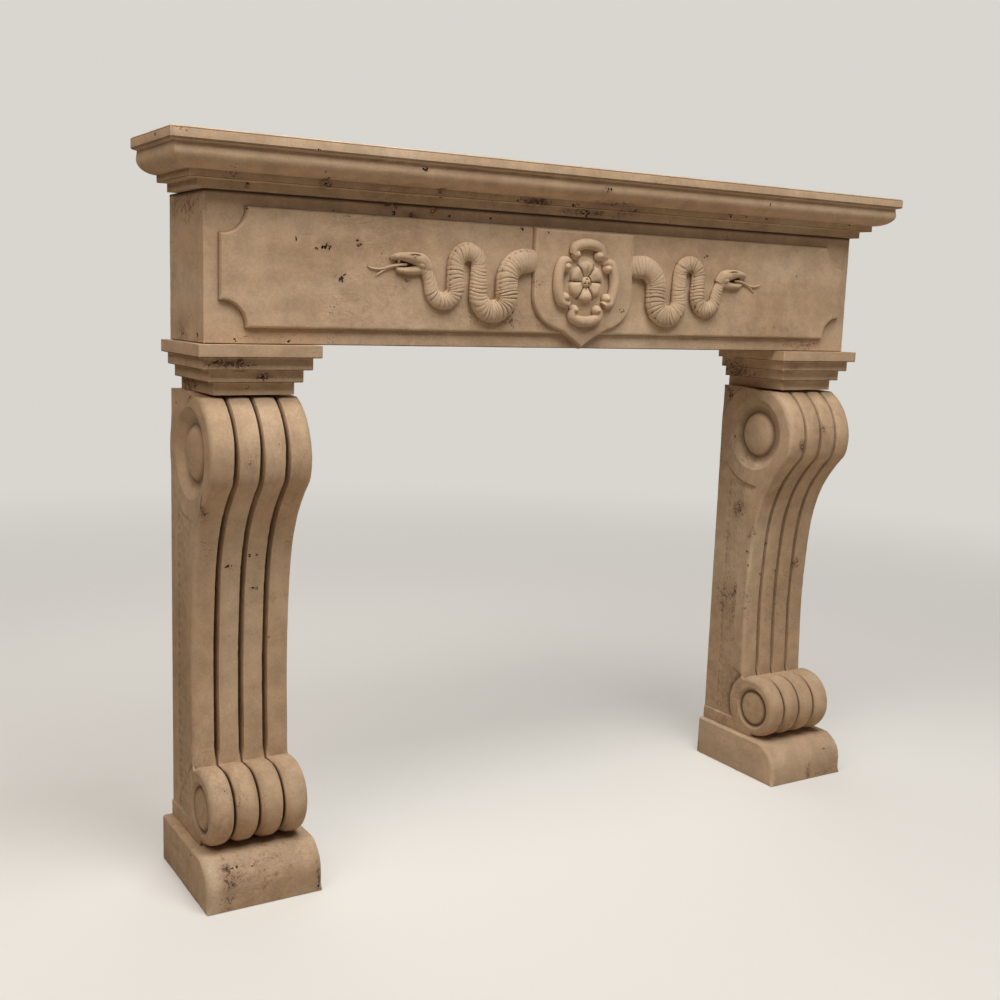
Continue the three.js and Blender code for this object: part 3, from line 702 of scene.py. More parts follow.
def leg_shape(node, seed):
    """Cross-sections of the leg at each place across it. A reed's face falls by its crown times a
    power of the place, then into the groove as a power of a sine; a lobe falls as a squared-off
    ellipse. The two outer edges turn back over a quarter circle."""
    low, high = box_mm(node)
    centre, half_width = (low[0] + high[0]) / 2, (high[0] - low[0]) / 2
    base, top = low[2], high[2]

    def roof_at(reach):
        return top - LEG_ROOF_DIP * smooth(reach, 60, 140)

    front = leg_outline()
    across, middle = reed_places()
    reed_half = half_width / REEDS
    x = centre + (middle + across) * reed_half
    place = np.abs(across)[:, None]
    depth, crown, lip, lobed, side_round = front[:, 4:].T
    inside = np.clip((place - lip) / (1 - lip), 0, 1)
    reed = crown * place ** 2.4 + (depth - crown) * np.sin(inside * np.pi / 2) ** 0.95
    lobe = depth * (1 - np.clip(1 - place ** 2.7, 0, 1) ** 0.5)
    sunk = reed * (1 - lobed) + lobe * lobed
    straight = 1 - side_round / reed_half
    edge = np.clip((place - straight) / (1 - straight), 0, 1)
    turned_back = side_round * (1 - np.sqrt(1 - edge ** 2))
    outer = (np.abs(middle + across) > REEDS - 1)[:, None]
    sunk = np.where(outer, turned_back, sunk)
    reach = front[:, 0] - front[:, 2] * sunk
    z = np.minimum(front[:, 1] - front[:, 3] * sunk, roof_at(reach))
    # The reeds' shoulders and the outer edges are rubbed paler; the grooves are painted shade.
    wear_and_shade = np.where(outer, 0.5 * edge * (edge < 0.95), 0.4 * smooth(place, 0.66, 0.8) - 1.9 * inside)
    # Painted shade in the crease where the shaft runs into the scroll.
    wear_and_shade = wear_and_shade - 0.4 * smooth(-front[:, 1], -262, -215) * (front[:, 0] < 165)
    # Painted shade along the top of the front, under the capital.
    wear_and_shade = wear_and_shade - 0.9 * (1 - smooth(np.arange(len(front)) + 0 * place, 0, 5))

    back = np.tile(np.linspace(base, top, 60), (len(x), 1))
    roof = reach[:, :1] * np.linspace(0.0, 1.0, 30)[1:-1]
    foot = np.tile(SCROLL["reach"] * np.linspace(1.0, 0.0, 30)[:-1], (len(x), 1))
    ring_reach = np.concatenate([0 * back, roof, reach, foot], axis=1)
    ring_z = np.concatenate([back, roof_at(roof), z, 0 * foot + base], axis=1)
    ring_wear_and_shade = np.concatenate([0 * back, 0 * roof, np.broadcast_to(wear_and_shade, z.shape), 0 * foot], axis=1)
    grid = placed(x[:, None], ring_reach, ring_z)
    shape = closed_shape(grid, np.clip(ring_wear_and_shade, -1, 1))
    level = shape["points"][:, 2].copy()
    shape = weathered(shape, seed, hollow=0.7, nick=1.2)
    bed = (level > top - 0.01) | (level < base + 0.01)
    shape["points"][:, 2] = np.where(bed, level, shape["points"][:, 2])
    return shape


def lathe_cutter(name, x, facing):
    """A sunk ring's rows turned round an axis along X, sinking into a side face."""
    reach, z, around, rows = SUNK_RINGS[name]
    radius, depth, dust_and_shade = np.array(rows, float).T[..., None]
    angles = np.radians(np.arange(around) * 360.0 / around)
    grid = placed(x - facing * depth, reach + radius * np.cos(angles), z + radius * np.sin(angles))
    # The rows' third column is painted shade, darkest on the floor of the sunk channel; below 0 it makes
    # the outer lip paler.
    return stone_piece(name, closed_shape(grid, -dust_and_shade), None, travertine)


def side_cutter(x, facing, top, seed):
    """The lower ground behind the volute's disc and the shaft's rim on a leg's side. It runs out past
    the leg's back and top, ends in a step along the disc and round the scroll, fades out towards the
    rim, and has a rough channel in it in front of the back strip."""
    rows, columns = 230, 44
    height = np.linspace(0.0, 1.0, rows)[:, None]
    share = np.linspace(0.0, 1.0, columns)[None, :]
    level = SIDE_BASE + height * (top + 3.0 - SIDE_BASE)
    shaft_z = np.array([point[1] for point in SHAFT[::-1]], float)
    shaft_reach = np.array([point[0] for point in SHAFT[::-1]], float)
    band = np.interp(level, shaft_z, shaft_reach) - RIM_WIDTH
    past = np.maximum((SCROLL["radius"] + 3) ** 2 - (level - SCROLL["z"]) ** 2, 0)
    beside_scroll = smooth(-level, -262, -238)
    round_scroll = np.minimum(SCROLL["reach"] - np.sqrt(past), band + 40)
    limit = band * (1 - beside_scroll) + round_scroll * beside_scroll
    room = (VOLUTE["radius"] + 0.5) ** 2 - (level - VOLUTE["z"]) ** 2
    beside_disc = room > 0
    limit = np.where(beside_disc, VOLUTE["reach"] - np.sqrt(np.maximum(room, 0)), limit)
    reach = -2.0 + share * (limit + 2.0)
    z = level + 0 * share
    stepped = np.maximum(beside_scroll, beside_disc)
    fade = (1 - share ** 1.5) * (1 - stepped) + stepped
    fade = np.maximum(fade, smooth(level, 700, 734) * (1 - smooth(share, 0.86, 0.98)))
    channel = smooth(reach, SIDE_STRIP - 2, SIDE_STRIP + 3) * smooth(-level, -760, -735)
    rough = cloud(np.stack([reach, z, 0 * z], axis=-1), 10.0, seed)
    floor = SIDE_SUNK * fade + (CHANNEL_SUNK + 0.55 * rough) * channel * fade
    floor = floor - 0.6 * (1 - fade) * share ** 4 + 1.6 * smooth(level, 890, 940)
    outside = (height < 0.5 / rows) | ((share > 1 - 0.5 / columns) & (stepped > 0.5))
    floor = np.where(outside, -1.0, floor)
    # Painted shade along the line at the back strip's edge and along the steps by the disc and the scroll;
    # the rough channel is a little darker.
    line = np.exp(-((reach - SIDE_STRIP - 2) / 4.0) ** 2) * smooth(-level, -760, -735) * (0.6 + 0.4 * rough)
    by_step = smooth(share, 0.8, 0.95) * stepped
    dust_and_shade = np.clip(0.15 * channel * (0.6 + rough) + 0.36 * line + 0.6 * by_step, 0, 1)
    dust_and_shade[:, -2:] = dust_and_shade[:2] = dust_and_shade[-2:] = 0.0
    ring_reach = np.concatenate([reach, reach[:, ::-1]], axis=1)
    ring_z = np.concatenate([z, z[:, ::-1]], axis=1)
    ring_depth = np.concatenate([floor, np.full_like(z, -3.0)], axis=1)
    ring_dust_and_shade = np.concatenate([dust_and_shade, 0 * z], axis=1)
    grid = placed(x - facing * ring_depth, ring_reach, ring_z)
    return stone_piece("side", closed_shape(grid, -ring_dust_and_shade), None, travertine)


def carve_leg_sides(leg, node, seed):
    """Sinks the ring round the volute's boss, the ring round the scroll's eye, and the side's
    ground, on both sides of the leg."""
    low, high = box_mm(node)
    cutters = []
    for facing, x in ((-1, low[0]), (1, high[0])):
        cutters.append(lathe_cutter("ring", x, facing))
        cutters.append(lathe_cutter("eye", x, facing))
        cutters.append(side_cutter(x, facing, high[2], seed + facing))
    cut(leg, cutters)


def plinth_shape(node, seed):
    """A block with a quarter-round nose, carried across the leg's width. The outline draws in by a
    quarter circle at both ends, widest round the nose and the front's upright corners."""
    low, high = box_mm(node)
    deep = high[1] - low[1]
    height = high[2]
    nose = arc(deep - PLINTH_NOSE, height - PLINTH_NOSE, PLINTH_NOSE, 90, 0, 26)
    top = np.column_stack([np.linspace(1.5, deep - PLINTH_NOSE, 40), np.full(40, height)])[:-1]
    front = np.column_stack([np.full(10, deep), np.linspace(height - PLINTH_NOSE, 2.0, 10)])[1:]
    bottom = np.column_stack([np.linspace(deep - 2.0, 1.5, 50), np.zeros(50)])
    back = np.column_stack([np.zeros(12), np.linspace(1.5, height - 1.5, 12)])
    outline = np.concatenate([top, nose, front, bottom, back])
    slope = np.roll(outline, -1, axis=0) - np.roll(outline, 1, axis=0)
    inward = np.column_stack([slope[:, 1], -slope[:, 0]])
    inward /= np.linalg.norm(inward, axis=1, keepdims=True)
    turn = np.radians(np.linspace(0, 90, 7))[:, None]
    along_nose = smooth(outline[:, 0], deep - 62, deep - 20) * smooth(outline[:, 1], 0, 14)
    radius = 2.5 + 2.5 * smooth(outline[:, 1], 0, 6) + 8.0 * along_nose
    middle = np.linspace(low[0] + 14.0, high[0] - 14.0, 50)[:, None] + 0 * radius
    edge = radius * (1 - np.cos(turn))
    drawn = radius * (1 - np.sin(turn))
    x = np.concatenate([low[0] + edge, middle, high[0] - edge[::-1]])
    shrink = np.concatenate([drawn, 0 * middle, drawn[::-1]])
    grid = placed(x, outline[:, 0] + inward[:, 0] * shrink, outline[:, 1] + inward[:, 1] * shrink)
    share = shrink / radius
    wear_and_shade = np.where(share < 0.5, smooth(share, 0, 0.3), smooth(1 - share, 0, 0.5))
    return weathered(closed_shape(grid, 0.7 * wear_and_shade), seed, hollow=0.7, nick=2.0)


# Frieze and its carving

def outward(outline):
    """Unit directions out of a closed outline at its points, lengthened at corners so that an offset
    keeps its distance to both sides."""
    edges = np.roll(outline, -1, axis=0) - outline
    edges /= np.maximum(np.linalg.norm(edges, axis=1, keepdims=True), 1e-9)
    before = np.roll(edges, 1, axis=0)
    area = np.sum(outline[:, 0] * np.roll(outline[:, 1], -1) - outline[:, 1] * np.roll(outline[:, 0], -1))
    sign = 1.0 if area > 0 else -1.0
    both = edges + before
    total = sign * np.column_stack([both[:, 1], -both[:, 0]])
    return 2 * total / np.maximum(np.sum(total * total, axis=1, keepdims=True), 0.8)


def raised_field(outline, rows, seed, **wear):
    """A closed outline in X and height carried out from the wall by rows of offset and reach. The
    last row stays in its plane, so that the face inside it is flat."""
    direction = outward(outline)
    offset, reach, wear_and_shade = np.array(rows, float).T
    flat = outline + direction * offset[:, None, None]
    grid = placed(flat[..., 0], reach[:, None], flat[..., 1])
    shape = weathered(closed_shape(grid, wear_and_shade[:, None]), seed, **wear)
    shape["points"][-len(outline):, 1] = WALL_Y - reach[-1]
    return shape


def soft_edge(draft, back, face, radius):
    """Rows from the root of a raised field up its flank, round its arris and onto its face."""
    turn = np.radians(np.linspace(0, 90, 6))
    # The flank is painted shade, darkest partway up; the arris is rubbed paler.
    flank = [(draft, back, -0.3), (draft, face - 9.5, -0.8), (draft * 0.55, face - 5.5, -0.2)]
    arris = [
        (-radius * (1 - math.cos(a)), face - radius * (1 - math.sin(a)), math.sin(2 * a)) for a in turn
    ]
    inner = [(-radius - 0.8, face, 0.1), (-radius - 1.5, face, 0.0)]
    return flank + arris + inner


def panel_outline():
    """A rectangle whose corners are scooped out by quarter circles, in steps of about 6 mm."""
    half, bottom, top, scoop = (PANEL[key] for key in ("half_length", "bottom", "top", "scoop"))
    corners = np.concatenate([
        arc(-half, bottom, scoop, 90, 0, 22),
        arc(half, bottom, scoop, 180, 90, 22),
        arc(half, top, scoop, 270, 180, 22),
        arc(-half, top, scoop, 360, 270, 22),
    ])
    closed = np.concatenate([corners, corners[:1]])
    runs = []
    for start, end in zip(closed[:-1], closed[1:]):
        steps = max(int(np.linalg.norm(end - start) // 6), 1)
        runs.append(start + (end - start) * (np.arange(steps) / steps)[:, None])
    return np.concatenate(runs)


def shield_outline():
    """Straight sides, round shoulders, and a foot that sweeps in to a point."""
    half = float(SHIELD["half_width"])
    level = PANEL["top"] - 2.0
    shoulder = arc(half - SHIELD["radius"], SHIELD["shoulder"], SHIELD["radius"], 0, -72, 26)
    t = np.linspace(0, 1, 26)[1:, None]
    bend, tip = np.array([45, 1115]), np.array([0, SHIELD["tip"]])
    sweep = (1 - t) ** 2 * shoulder[-1] + 2 * t * (1 - t) * bend + t ** 2 * tip
    side = np.column_stack([np.full(24, half), np.linspace(level, SHIELD["shoulder"], 24)])[:-1]
    right = np.concatenate([side, shoulder, sweep])
    left = right[-2::-1] * np.array([-1.0, 1.0])
    top = np.column_stack([np.linspace(-half, half, 40), np.full(40, level)])
    outline = np.concatenate([right, left, top[1:-1]])
    return outline + np.array([CARVING_X, 0.0])


def roll_shape(stations, seat, around, undercut, shape_of=None, wear_and_shade_of=None, root=5.0):
    """A roll of carving along stations of X, height, half-width and rise. Its section is the part of
    an ellipse above the seat, with its widest place a third of the way up, so that its flanks tuck
    under; shape_of gives the share of the radius left at each station and angle."""
    x, z, half, rise = stations.T
    path = np.column_stack([x, z])
    along = np.gradient(path, axis=0)
    along /= np.maximum(np.linalg.norm(along, axis=1, keepdims=True), 1e-9)
    angles = np.radians(np.linspace(-undercut, 180 + undercut, around))
    lift = math.sin(math.radians(undercut)) / (1 + math.sin(math.radians(undercut)))
    share = np.ones((len(x), around)) if shape_of is None else shape_of(angles)
    across = half[:, None] * np.cos(angles) * share
    out = rise[:, None] * (lift + (1 - lift) * np.sin(angles) * share)
    across = np.concatenate([across[:, :1] * 0.9, across, across[:, -1:] * 0.9], axis=1)
    out = np.concatenate([np.full((len(x), 1), -root), out, np.full((len(x), 1), -root)], axis=1)
    grid = placed(path[:, :1] - along[:, 1:] * across, seat + out, path[:, 1:] + along[:, :1] * across)
    wear_and_shade = np.full((len(x), around), 0.4) if wear_and_shade_of is None else wear_and_shade_of(angles)
    # Painted shade on the flanks near the root, where they tuck under.
    wear_and_shade = wear_and_shade - 1.0 * smooth(-np.sin(angles), -0.25, 0.3)
    wear_and_shade = np.concatenate([wear_and_shade[:, :1], wear_and_shade, wear_and_shade[:, -1:]], axis=1)
    return closed_shape(grid, np.clip(wear_and_shade, -1, 1))


def serpent_course():
    """The body's middle line from behind the shield to the head, as even steps of distance from the
    group's middle, height and half-width, smoothed over about 12 mm."""
    runs = [np.array([SERPENT_START], float)]
    for bend, limbs in zip(SERPENT_BENDS, SERPENT_LIMBS):
        x, z, radius, start, stop, first, last = bend
        circle = arc(x, z, radius, start, stop, 32)
        runs.append(np.column_stack([circle, np.linspace(first, last, 32)]))
        runs.extend(np.array([limb], float) for limb in limbs)
    runs.append(np.array(SERPENT_NECK, float))
    course = even_steps(np.concatenate(runs), 1.0)
    course[1:-1] = blurred(course, 15)[1:-1]
    return course


def serpent_body(side, seed):
    """A roll with ribs across it: narrow dips at an uneven pitch that lean with the angle round the
    body, deepest on the crest and fading on one flank."""
    course = serpent_course()
    s, z, half = course.T
    rise = np.minimum(0.95 * half, 9.0 + 0.42 * np.maximum(s - SHIELD["half_width"] + 10, 0))
    stations = np.column_stack([CARVING_X + side * s, z, half, rise])
    travelled = np.arange(len(s))
    rng = np.random.default_rng(seed + 40)
    knots = np.arange(0, len(s) + RIB_PITCH, RIB_PITCH)
    uneven = np.interp(travelled, knots, rng.uniform(-0.28, 0.28, len(knots)))
    depth = np.interp(travelled, knots, rng.uniform(0.35, 1.0, len(knots)))
    slant = np.interp(travelled, knots[::4], rng.uniform(-1.1, 1.1, len(knots[::4])))
    first_hump = smooth(-travelled, -105, -55)
    neck = 1 - smooth(travelled, len(s) - 26, len(s) - 6)

    def phase(angles):
        lean = slant[:, None] * np.cos(angles)
        return (travelled / RIB_PITCH + uneven)[:, None] + lean - 0.5 * np.abs(np.cos(angles)) ** 2

    def rib(angles):
        dip = (0.5 + 0.5 * np.cos(2 * np.pi * phase(angles))) ** 6
        strength = (depth * (1 - 0.3 * first_hump) * neck)[:, None]
        return dip * strength * (0.4 + 0.6 * np.sin(angles).clip(0, 1))

    def keel(angles):
        line = np.exp(-((angles - math.radians(148)) / 0.10) ** 2)
        beads = 0.55 + 0.45 * np.sin(travelled / 1.6)
        return line * beads[:, None] * neck[:, None]

    def radius_share(angles):
        hatch = np.sin(travelled * 1.5)[:, None] * np.sin(7 * angles) * first_hump[:, None]
        return 1 - 0.13 * rib(angles) - 0.06 * keel(angles) - 0.012 * hatch

    # The dips of the ribs and the keel line are painted shade; the rest is rubbed paler.
    def ribs_wear_and_shade(angles):
        return 0.6 - 2.0 * rib(angles) - 1.3 * keel(angles)

    return roll_shape(stations, PANEL_REACH, 30, 26.0, radius_share, ribs_wear_and_shade)


def lump(x, z, seat, length, width, rise, turn=0.0):
    """A dome with a flat root: half-lengths along and across, turned by degrees in the face."""
    around = 28
    up = np.radians(np.concatenate([[-30], np.linspace(-12, 89, 12)]))
    angles = np.radians(np.arange(around) * 360.0 / around)
    spread = np.cos(up)[:, None]
    a = length * spread * np.cos(angles)
    b = width * spread * np.sin(angles)
    turned = math.radians(turn)
    out = np.where(up < 0, np.sin(up) * LUMP_SINK, np.sin(up) * rise)
    grid = placed(
        x + a * math.cos(turned) - b * math.sin(turned),
        seat + out[:, None],
        z + a * math.sin(turned) + b * math.cos(turned),
    )
    # The dome is rubbed paler; its root and lower flanks are painted shade.
    return closed_shape(grid, (0.5 - 1.5 * smooth(-up, -0.5, 0.2))[:, None])


def serpent_head(side):
    """Upper and lower jaw as tapering rolls with the mouth's gap between them, a brow over the eye,
    a fang, a gland behind the jaw, and a forked tongue that lies on the panel. Between its given
    stations each roll follows a spline through them."""
    shapes = []
    for part, (count, around, undercut, root, rows) in HEAD_ROLLS.items():
        rows = np.array(rows, float)
        rows[:, 0] = CARVING_X + side * rows[:, 0]
        stations = along_spline(rows, np.linspace(0, 1, count))
        shapes.append(roll_shape(stations, PANEL_REACH, around, undercut, root=root))
        # The throat is painted dark: painted shade inside the open mouth.
        if part == "throat_painted_shade":
            shapes[-1]["wear_and_shade"][:] = -1.0
    for away, z, seat, length, width, rise, turn in HEAD_LUMPS:
        x = CARVING_X + side * away
        shapes.append(lump(x, z, PANEL_REACH + seat, length, width, rise, side * turn))
    return together(shapes)


def scroll_bar(middle, span):
    """One C-scroll of the frame: a bar along an ellipse round the rose, span degrees to each side of
    its middle, whose ends turn in to curls, each with a button on it."""
    swing = np.linspace(-1.0, 1.0, 90)
    turned = np.radians(middle + span * swing)
    inward = FRAME["turned_in"] * smooth(np.abs(swing), 0.72, 1.0)
    x = CARVING_X + (FRAME["half_wide"] - inward) * np.cos(turned)
    z = FRAME["z"] + (FRAME["half_high"] - inward) * np.sin(turned)
    half = FRAME["half"] - 2.4 * smooth(np.abs(swing), 0.6, 1.0)
    rise = FRAME["rise"] - 1.5 * np.abs(swing)
    shapes = [roll_shape(np.column_stack([x, z, half, rise]), SHIELD_REACH, 22, 24.0)]
    for end in (-1, 1):
        place = math.radians(middle + end * CURL["turn"])
        curl_x = CARVING_X + CURL["half_wide"] * math.cos(place)
        curl_z = FRAME["z"] + CURL["half_high"] * math.sin(place)
        size = CURL["radius"]
        shapes.append(lump(curl_x, curl_z, SHIELD_REACH, size, size, CURL["rise"]))
        shapes.append(lump(curl_x, curl_z, SHIELD_REACH + 13.5, 0.45 * size, 0.45 * size, 5.2))
    return shapes


def rose_shape():
    """Heights over a polar grid: a low disc, six petals that are round lobes across and swell
    outwards, clefts between them painted dark as shade, and a button with three drilled holes."""
    rings = np.concatenate([
        np.linspace(0.4, 13.5, 16), np.linspace(14, 48, 44), np.linspace(48.5, 54, 8), [56, 57.5, 58.5],
    ])
    turn = np.arange(360.0)
    radius = rings[:, None]
    local = (turn + 30.0 - 90.0) % 60.0 - 30.0
    which = np.round((turn - 90.0) / 60.0) % 6
    t = np.abs(local) / 30.0
    tip = ROSE["tip"] - 5.0 * t ** 2.2 - 1.2 * np.isin(which, (1, 4))
    lobe = np.sqrt(np.clip(1 - t ** 3.2, 0, 1))
    swell = smooth(radius, 8, 33) ** 0.8
    end = np.sqrt(np.clip(1 - (np.clip((radius - 24) / (tip - 24), 0, 1)) ** 3.0, 0, 1))
    petals = (5.5 + 6.5 * swell) * (0.12 + 0.88 * lobe) * end
    crease = np.exp(-((local / 3.2) ** 2)) * smooth(radius, 12, 18) * (1 - smooth(radius, 28, 40))
    notch = np.exp(-((local / 6.0) ** 2)) * (1 - smooth(radius, 16, 24))
    petals = petals - 4.5 * crease * (which == 0) - 4.0 * notch * (which == 3)
    disc = 3.2 * (1 - smooth(radius, 42, 58)) - 0.5 * smooth(radius, 44, 58)
    height = disc + np.clip(petals, 0, None)
    button = 9.0 * np.sqrt(np.clip(1 - (radius / ROSE["button"]) ** 2.6, 0, 1)) + 4.0
    along, up = radius * np.cos(np.radians(turn)), radius * np.sin(np.radians(turn))
    for hole in np.radians([90, 210, 330]):
        away = np.hypot(along - ROSE["holes"] * np.cos(hole), up - ROSE["holes"] * np.sin(hole))
        button = button - 4.5 * (1 - smooth(away, 1.4, 2.8))
    height = np.where(radius < ROSE["moat"], np.maximum(button, 2.2), height)
    clefts = smooth(t, 0.75, 1.0) * smooth(radius, 11, 14) * (1 - smooth(radius, 42, 47))
    # The petals' tops are rubbed paler; the clefts and the ring round the button are painted shade.
    wear_and_shade = 0.7 - 1.45 * clefts - 1.0 * (1 - smooth(np.abs(radius - ROSE["moat"]), 0.3, 1.8))
    along, up = (np.concatenate([part, part[-1:]]) for part in (along, up))
    out = np.concatenate([height, 0 * height[-1:] - 4.0])
    wear_and_shade = np.concatenate([wear_and_shade, 0 * wear_and_shade[-1:]])
    grid = placed(ROSE["x"] + along, SHIELD_REACH + out, ROSE["z"] + up)
    return closed_shape(grid, np.clip(wear_and_shade, -1, 1))


# Materials

def linear(code):
    """An sRGB hex colour as linear values with alpha 1."""
    parts = [int(code[i:i + 2], 16) / 255 for i in (1, 3, 5)]
    return tuple(p / 12.92 if p <= 0.04045 else ((p + 0.055) / 1.055) ** 2.4 for p in parts) + (1.0,)


def add(tree, kind, settings=None, stops=(), out=0, **links):
    """A node of a kind with its settings, a colour ramp's stops, and links into its sockets; gives one
    output. A socket is named or, as _0, numbered; a plain value sets it, and a plain stop is a grey."""
    node = tree.nodes.new(kind)
    for key, value in (settings or {}).items():
        setattr(node, key, value)
    while stops and len(node.color_ramp.elements) < len(stops):
        node.color_ramp.elements.new(0.5)
    for element, (place, colour) in zip(node.color_ramp.elements if stops else (), stops):
        element.position = place
        element.color = colour if isinstance(colour, tuple) else (colour, colour, colour, 1.0)
    for key, value in links.items():
        place = key[1:] if key[0] == "_" else key.replace("_", " ")
        socket = node.inputs[int(place)] if place.isdigit() else node.inputs[place]
        if isinstance(value, bpy.types.NodeSocket):
            tree.links.new(value, socket)
        else:
            socket.default_value = value
    return node.outputs[out] if len(node.outputs) else None


def emptied_tree(owner):
    """The node tree of a material or world, with nothing in it."""
    owner.use_nodes = True
    owner.node_tree.nodes.clear()
    return owner.node_tree


def travertine_finish(name, bedding):
    """Travertine sawn and rubbed by hand: a warm tan stone with paler clouds, thin brown bedding
    streaks, clusters of small open pits, and dull faces. bedding stretches the streaks, as
    numbers along X, Y and Z."""
    material = bpy.data.materials.new(name)
    tree = emptied_tree(material)
    noise, ramp, maths = "ShaderNodeTexNoise", "ShaderNodeValToRGB", "ShaderNodeMath"
    mixed = {"data_type": "RGBA"}
    multiplied = {"data_type": "RGBA", "blend_type": "MULTIPLY"}
    times, held = {"operation": "MULTIPLY"}, {"operation": "MULTIPLY", "use_clamp": True}
    place = add(tree, "ShaderNodeTexCoord", out="Object")
    laid = add(tree, "ShaderNodeMapping", Vector=place, Scale=bedding)
    stain_and_painted_light, wear_and_shade, hollow = (
        add(tree, "ShaderNodeAttribute", {"attribute_name": label}, out="Fac") for label in LABELS
    )

    # Clouds of paler and browner stone, about 200 mm across, with softer ones of 40 mm and a grain of
    # 4 mm: the calm, slightly uneven tan of the whole mantel.
    broad = add(tree, noise, Vector=laid, Scale=5.0, Detail=4.0, Roughness=0.55, Distortion=0.4)
    tone = add(tree, ramp, Fac=broad, stops=[
        (0.30, linear("#B99B7B")), (0.46, linear("#C2A585")), (0.58, linear("#C8AC8D")),
        (0.72, linear("#CEB597")),
    ])
    middle = add(tree, noise, Vector=place, Scale=24.0, Detail=5.0, Roughness=0.6)
    blotch = add(tree, ramp, Fac=middle, stops=[(0.36, 0.87), (0.64, 1.07)])
    tone = add(tree, "ShaderNodeMix", multiplied, out=2, _0=1.0, _6=tone, _7=blotch)
    fine = add(tree, noise, Vector=place, Scale=260.0, Detail=3.0, Roughness=0.7)
    speckle = add(tree, ramp, Fac=fine, stops=[(0.33, 0.90), (0.62, 1.05)])
    tone = add(tree, "ShaderNodeMix", multiplied, out=2, _0=1.0, _6=tone, _7=speckle)

    # Brown bedding streaks a few millimetres thick, only in some beds.
    streak = add(tree, noise, Vector=laid, Scale=16.0, Detail=6.0, Roughness=0.7, Distortion=1.2)
    thin = add(tree, ramp, Fac=streak, stops=[(0.47, 0.0), (0.5, 1.0), (0.53, 0.0)])
    where = add(tree, noise, Vector=place, Scale=3.1, Detail=2.0)
    some = add(tree, ramp, Fac=where, stops=[(0.5, 0.0), (0.7, 0.42)])
    veined = add(tree, maths, times, _0=thin, _1=some)

    # Open pits 1 to 3 mm across in clusters: cells with a hole in the middle, where a field allows.
    warped = add(tree, noise, out="Color", Vector=place, Scale=70.0, Detail=2.0)
    shift = add(tree, "ShaderNodeVectorMath", {"operation": "SCALE"}, _0=warped, Scale=0.012)
    jittered = add(tree, "ShaderNodeVectorMath", {"operation": "ADD"}, _0=place, _1=shift)
    cells = add(tree, "ShaderNodeTexVoronoi", Vector=jittered, Scale=150.0)
    hole = add(tree, ramp, Fac=cells, stops=[(0.12, 1.0), (0.32, 0.0)])
    cluster = add(tree, noise, Vector=place, Scale=11.0, Detail=3.0, Roughness=0.6)
    allowed = add(tree, ramp, Fac=cluster, stops=[(0.60, 0.0), (0.70, 0.9)])
    pits = add(tree, maths, times, _0=hole, _1=allowed)

    # Stained veins and blackened clusters at the places of the list, broken up by a fine field, with a
    # pinkish brown round them; at the list's places of painted shade these browns are painted shade,
    # and where the list is below 0 a paler colour is painted highlight.
    halo_and_painted_shade = add(tree, maths, held, _0=stain_and_painted_light, _1=0.62)
    broken = add(tree, noise, Vector=place, Scale=95.0, Detail=6.0, Roughness=0.75, Distortion=0.8)
    crowded = add(tree, maths, {"operation": "MULTIPLY_ADD"}, _0=stain_and_painted_light, _1=0.17, _2=broken)
    blackened = add(tree, ramp, Fac=crowded, stops=[(0.575, 0.0), (0.68, 0.92)])
    stained_and_shaded = add(tree, maths, held, _0=stain_and_painted_light, _1=3.0)
    inked_and_shaded = add(tree, maths, times, _0=stained_and_shaded, _1=blackened)
    # Painted highlights where the list is below 0.
    painted_highlight = add(tree, maths, held, _0=stain_and_painted_light, _1=-0.7)

    # Rubbed arrises are paler; hollows keep brown dust, and the same brown is painted shade in creases,
    # grooves, undersides and roots.
    rubbed = add(tree, ramp, Fac=wear_and_shade, stops=[(0.1, 0.0), (0.9, 0.32)])
    turned = add(tree, maths, times, _0=wear_and_shade, _1=-1.0)
    # Dark brown for dust and for painted shade.
    dust_and_painted_shade = add(tree, ramp, Fac=turned, stops=[(0.05, 0.0), (0.5, 0.45), (0.95, 0.93)])

    # All of these over the clouds, in the order of their making, and the dark of broken hollows.
    for share, colour in (
        (veined, "#8A6A50"), (pits, "#5E4430"), (halo_and_painted_shade, "#8E6A54"), (inked_and_shaded, "#4A3729"), (painted_highlight, "#DCC8AC"),
        (rubbed, "#DCC6A8"), (dust_and_painted_shade, "#4A3526"), (hollow, "#4A3527"),
    ):
        tone = add(tree, "ShaderNodeMix", mixed, out=2, _0=share, _6=tone, _7=linear(colour))

    # Relief: pits, worn grain about 4 mm across, and slow unevenness from hand rubbing.
    height = add(tree, maths, {"operation": "MAXIMUM"}, _0=pits, _1=inked_and_shaded)
    height = add(tree, maths, times, _0=height, _1=-1.0)
    bump = add(tree, "ShaderNodeBump", Height=height, Strength=0.8, Distance=0.0012)
    grain = add(tree, noise, Vector=place, Scale=140.0, Detail=4.0, Roughness=0.65)
    bump = add(tree, "ShaderNodeBump", Height=grain, Strength=0.35, Distance=0.0009, Normal=bump)
    bump = add(tree, "ShaderNodeBump", Height=middle, Strength=0.3, Distance=0.004, Normal=bump)

    dull = add(tree, ramp, Fac=broad, stops=[(0.3, 0.86), (0.7, 0.76)])
    stone = add(tree, "ShaderNodeBsdfPrincipled", Base_Color=tone, Roughness=dull, IOR=1.45, Normal=bump)
    add(tree, "ShaderNodeOutputMaterial", Surface=stone)
    return material


# One stone, laid with its beds level, or stood with them upright in the legs: the streaks run along
# the shelf and frieze, and up the legs.
travertine = travertine_finish("travertine, beds level", (0.55, 0.55, 1.6))
travertine_upright = travertine_finish("travertine, beds upright", (1.5, 0.6, 0.5))


# Pieces

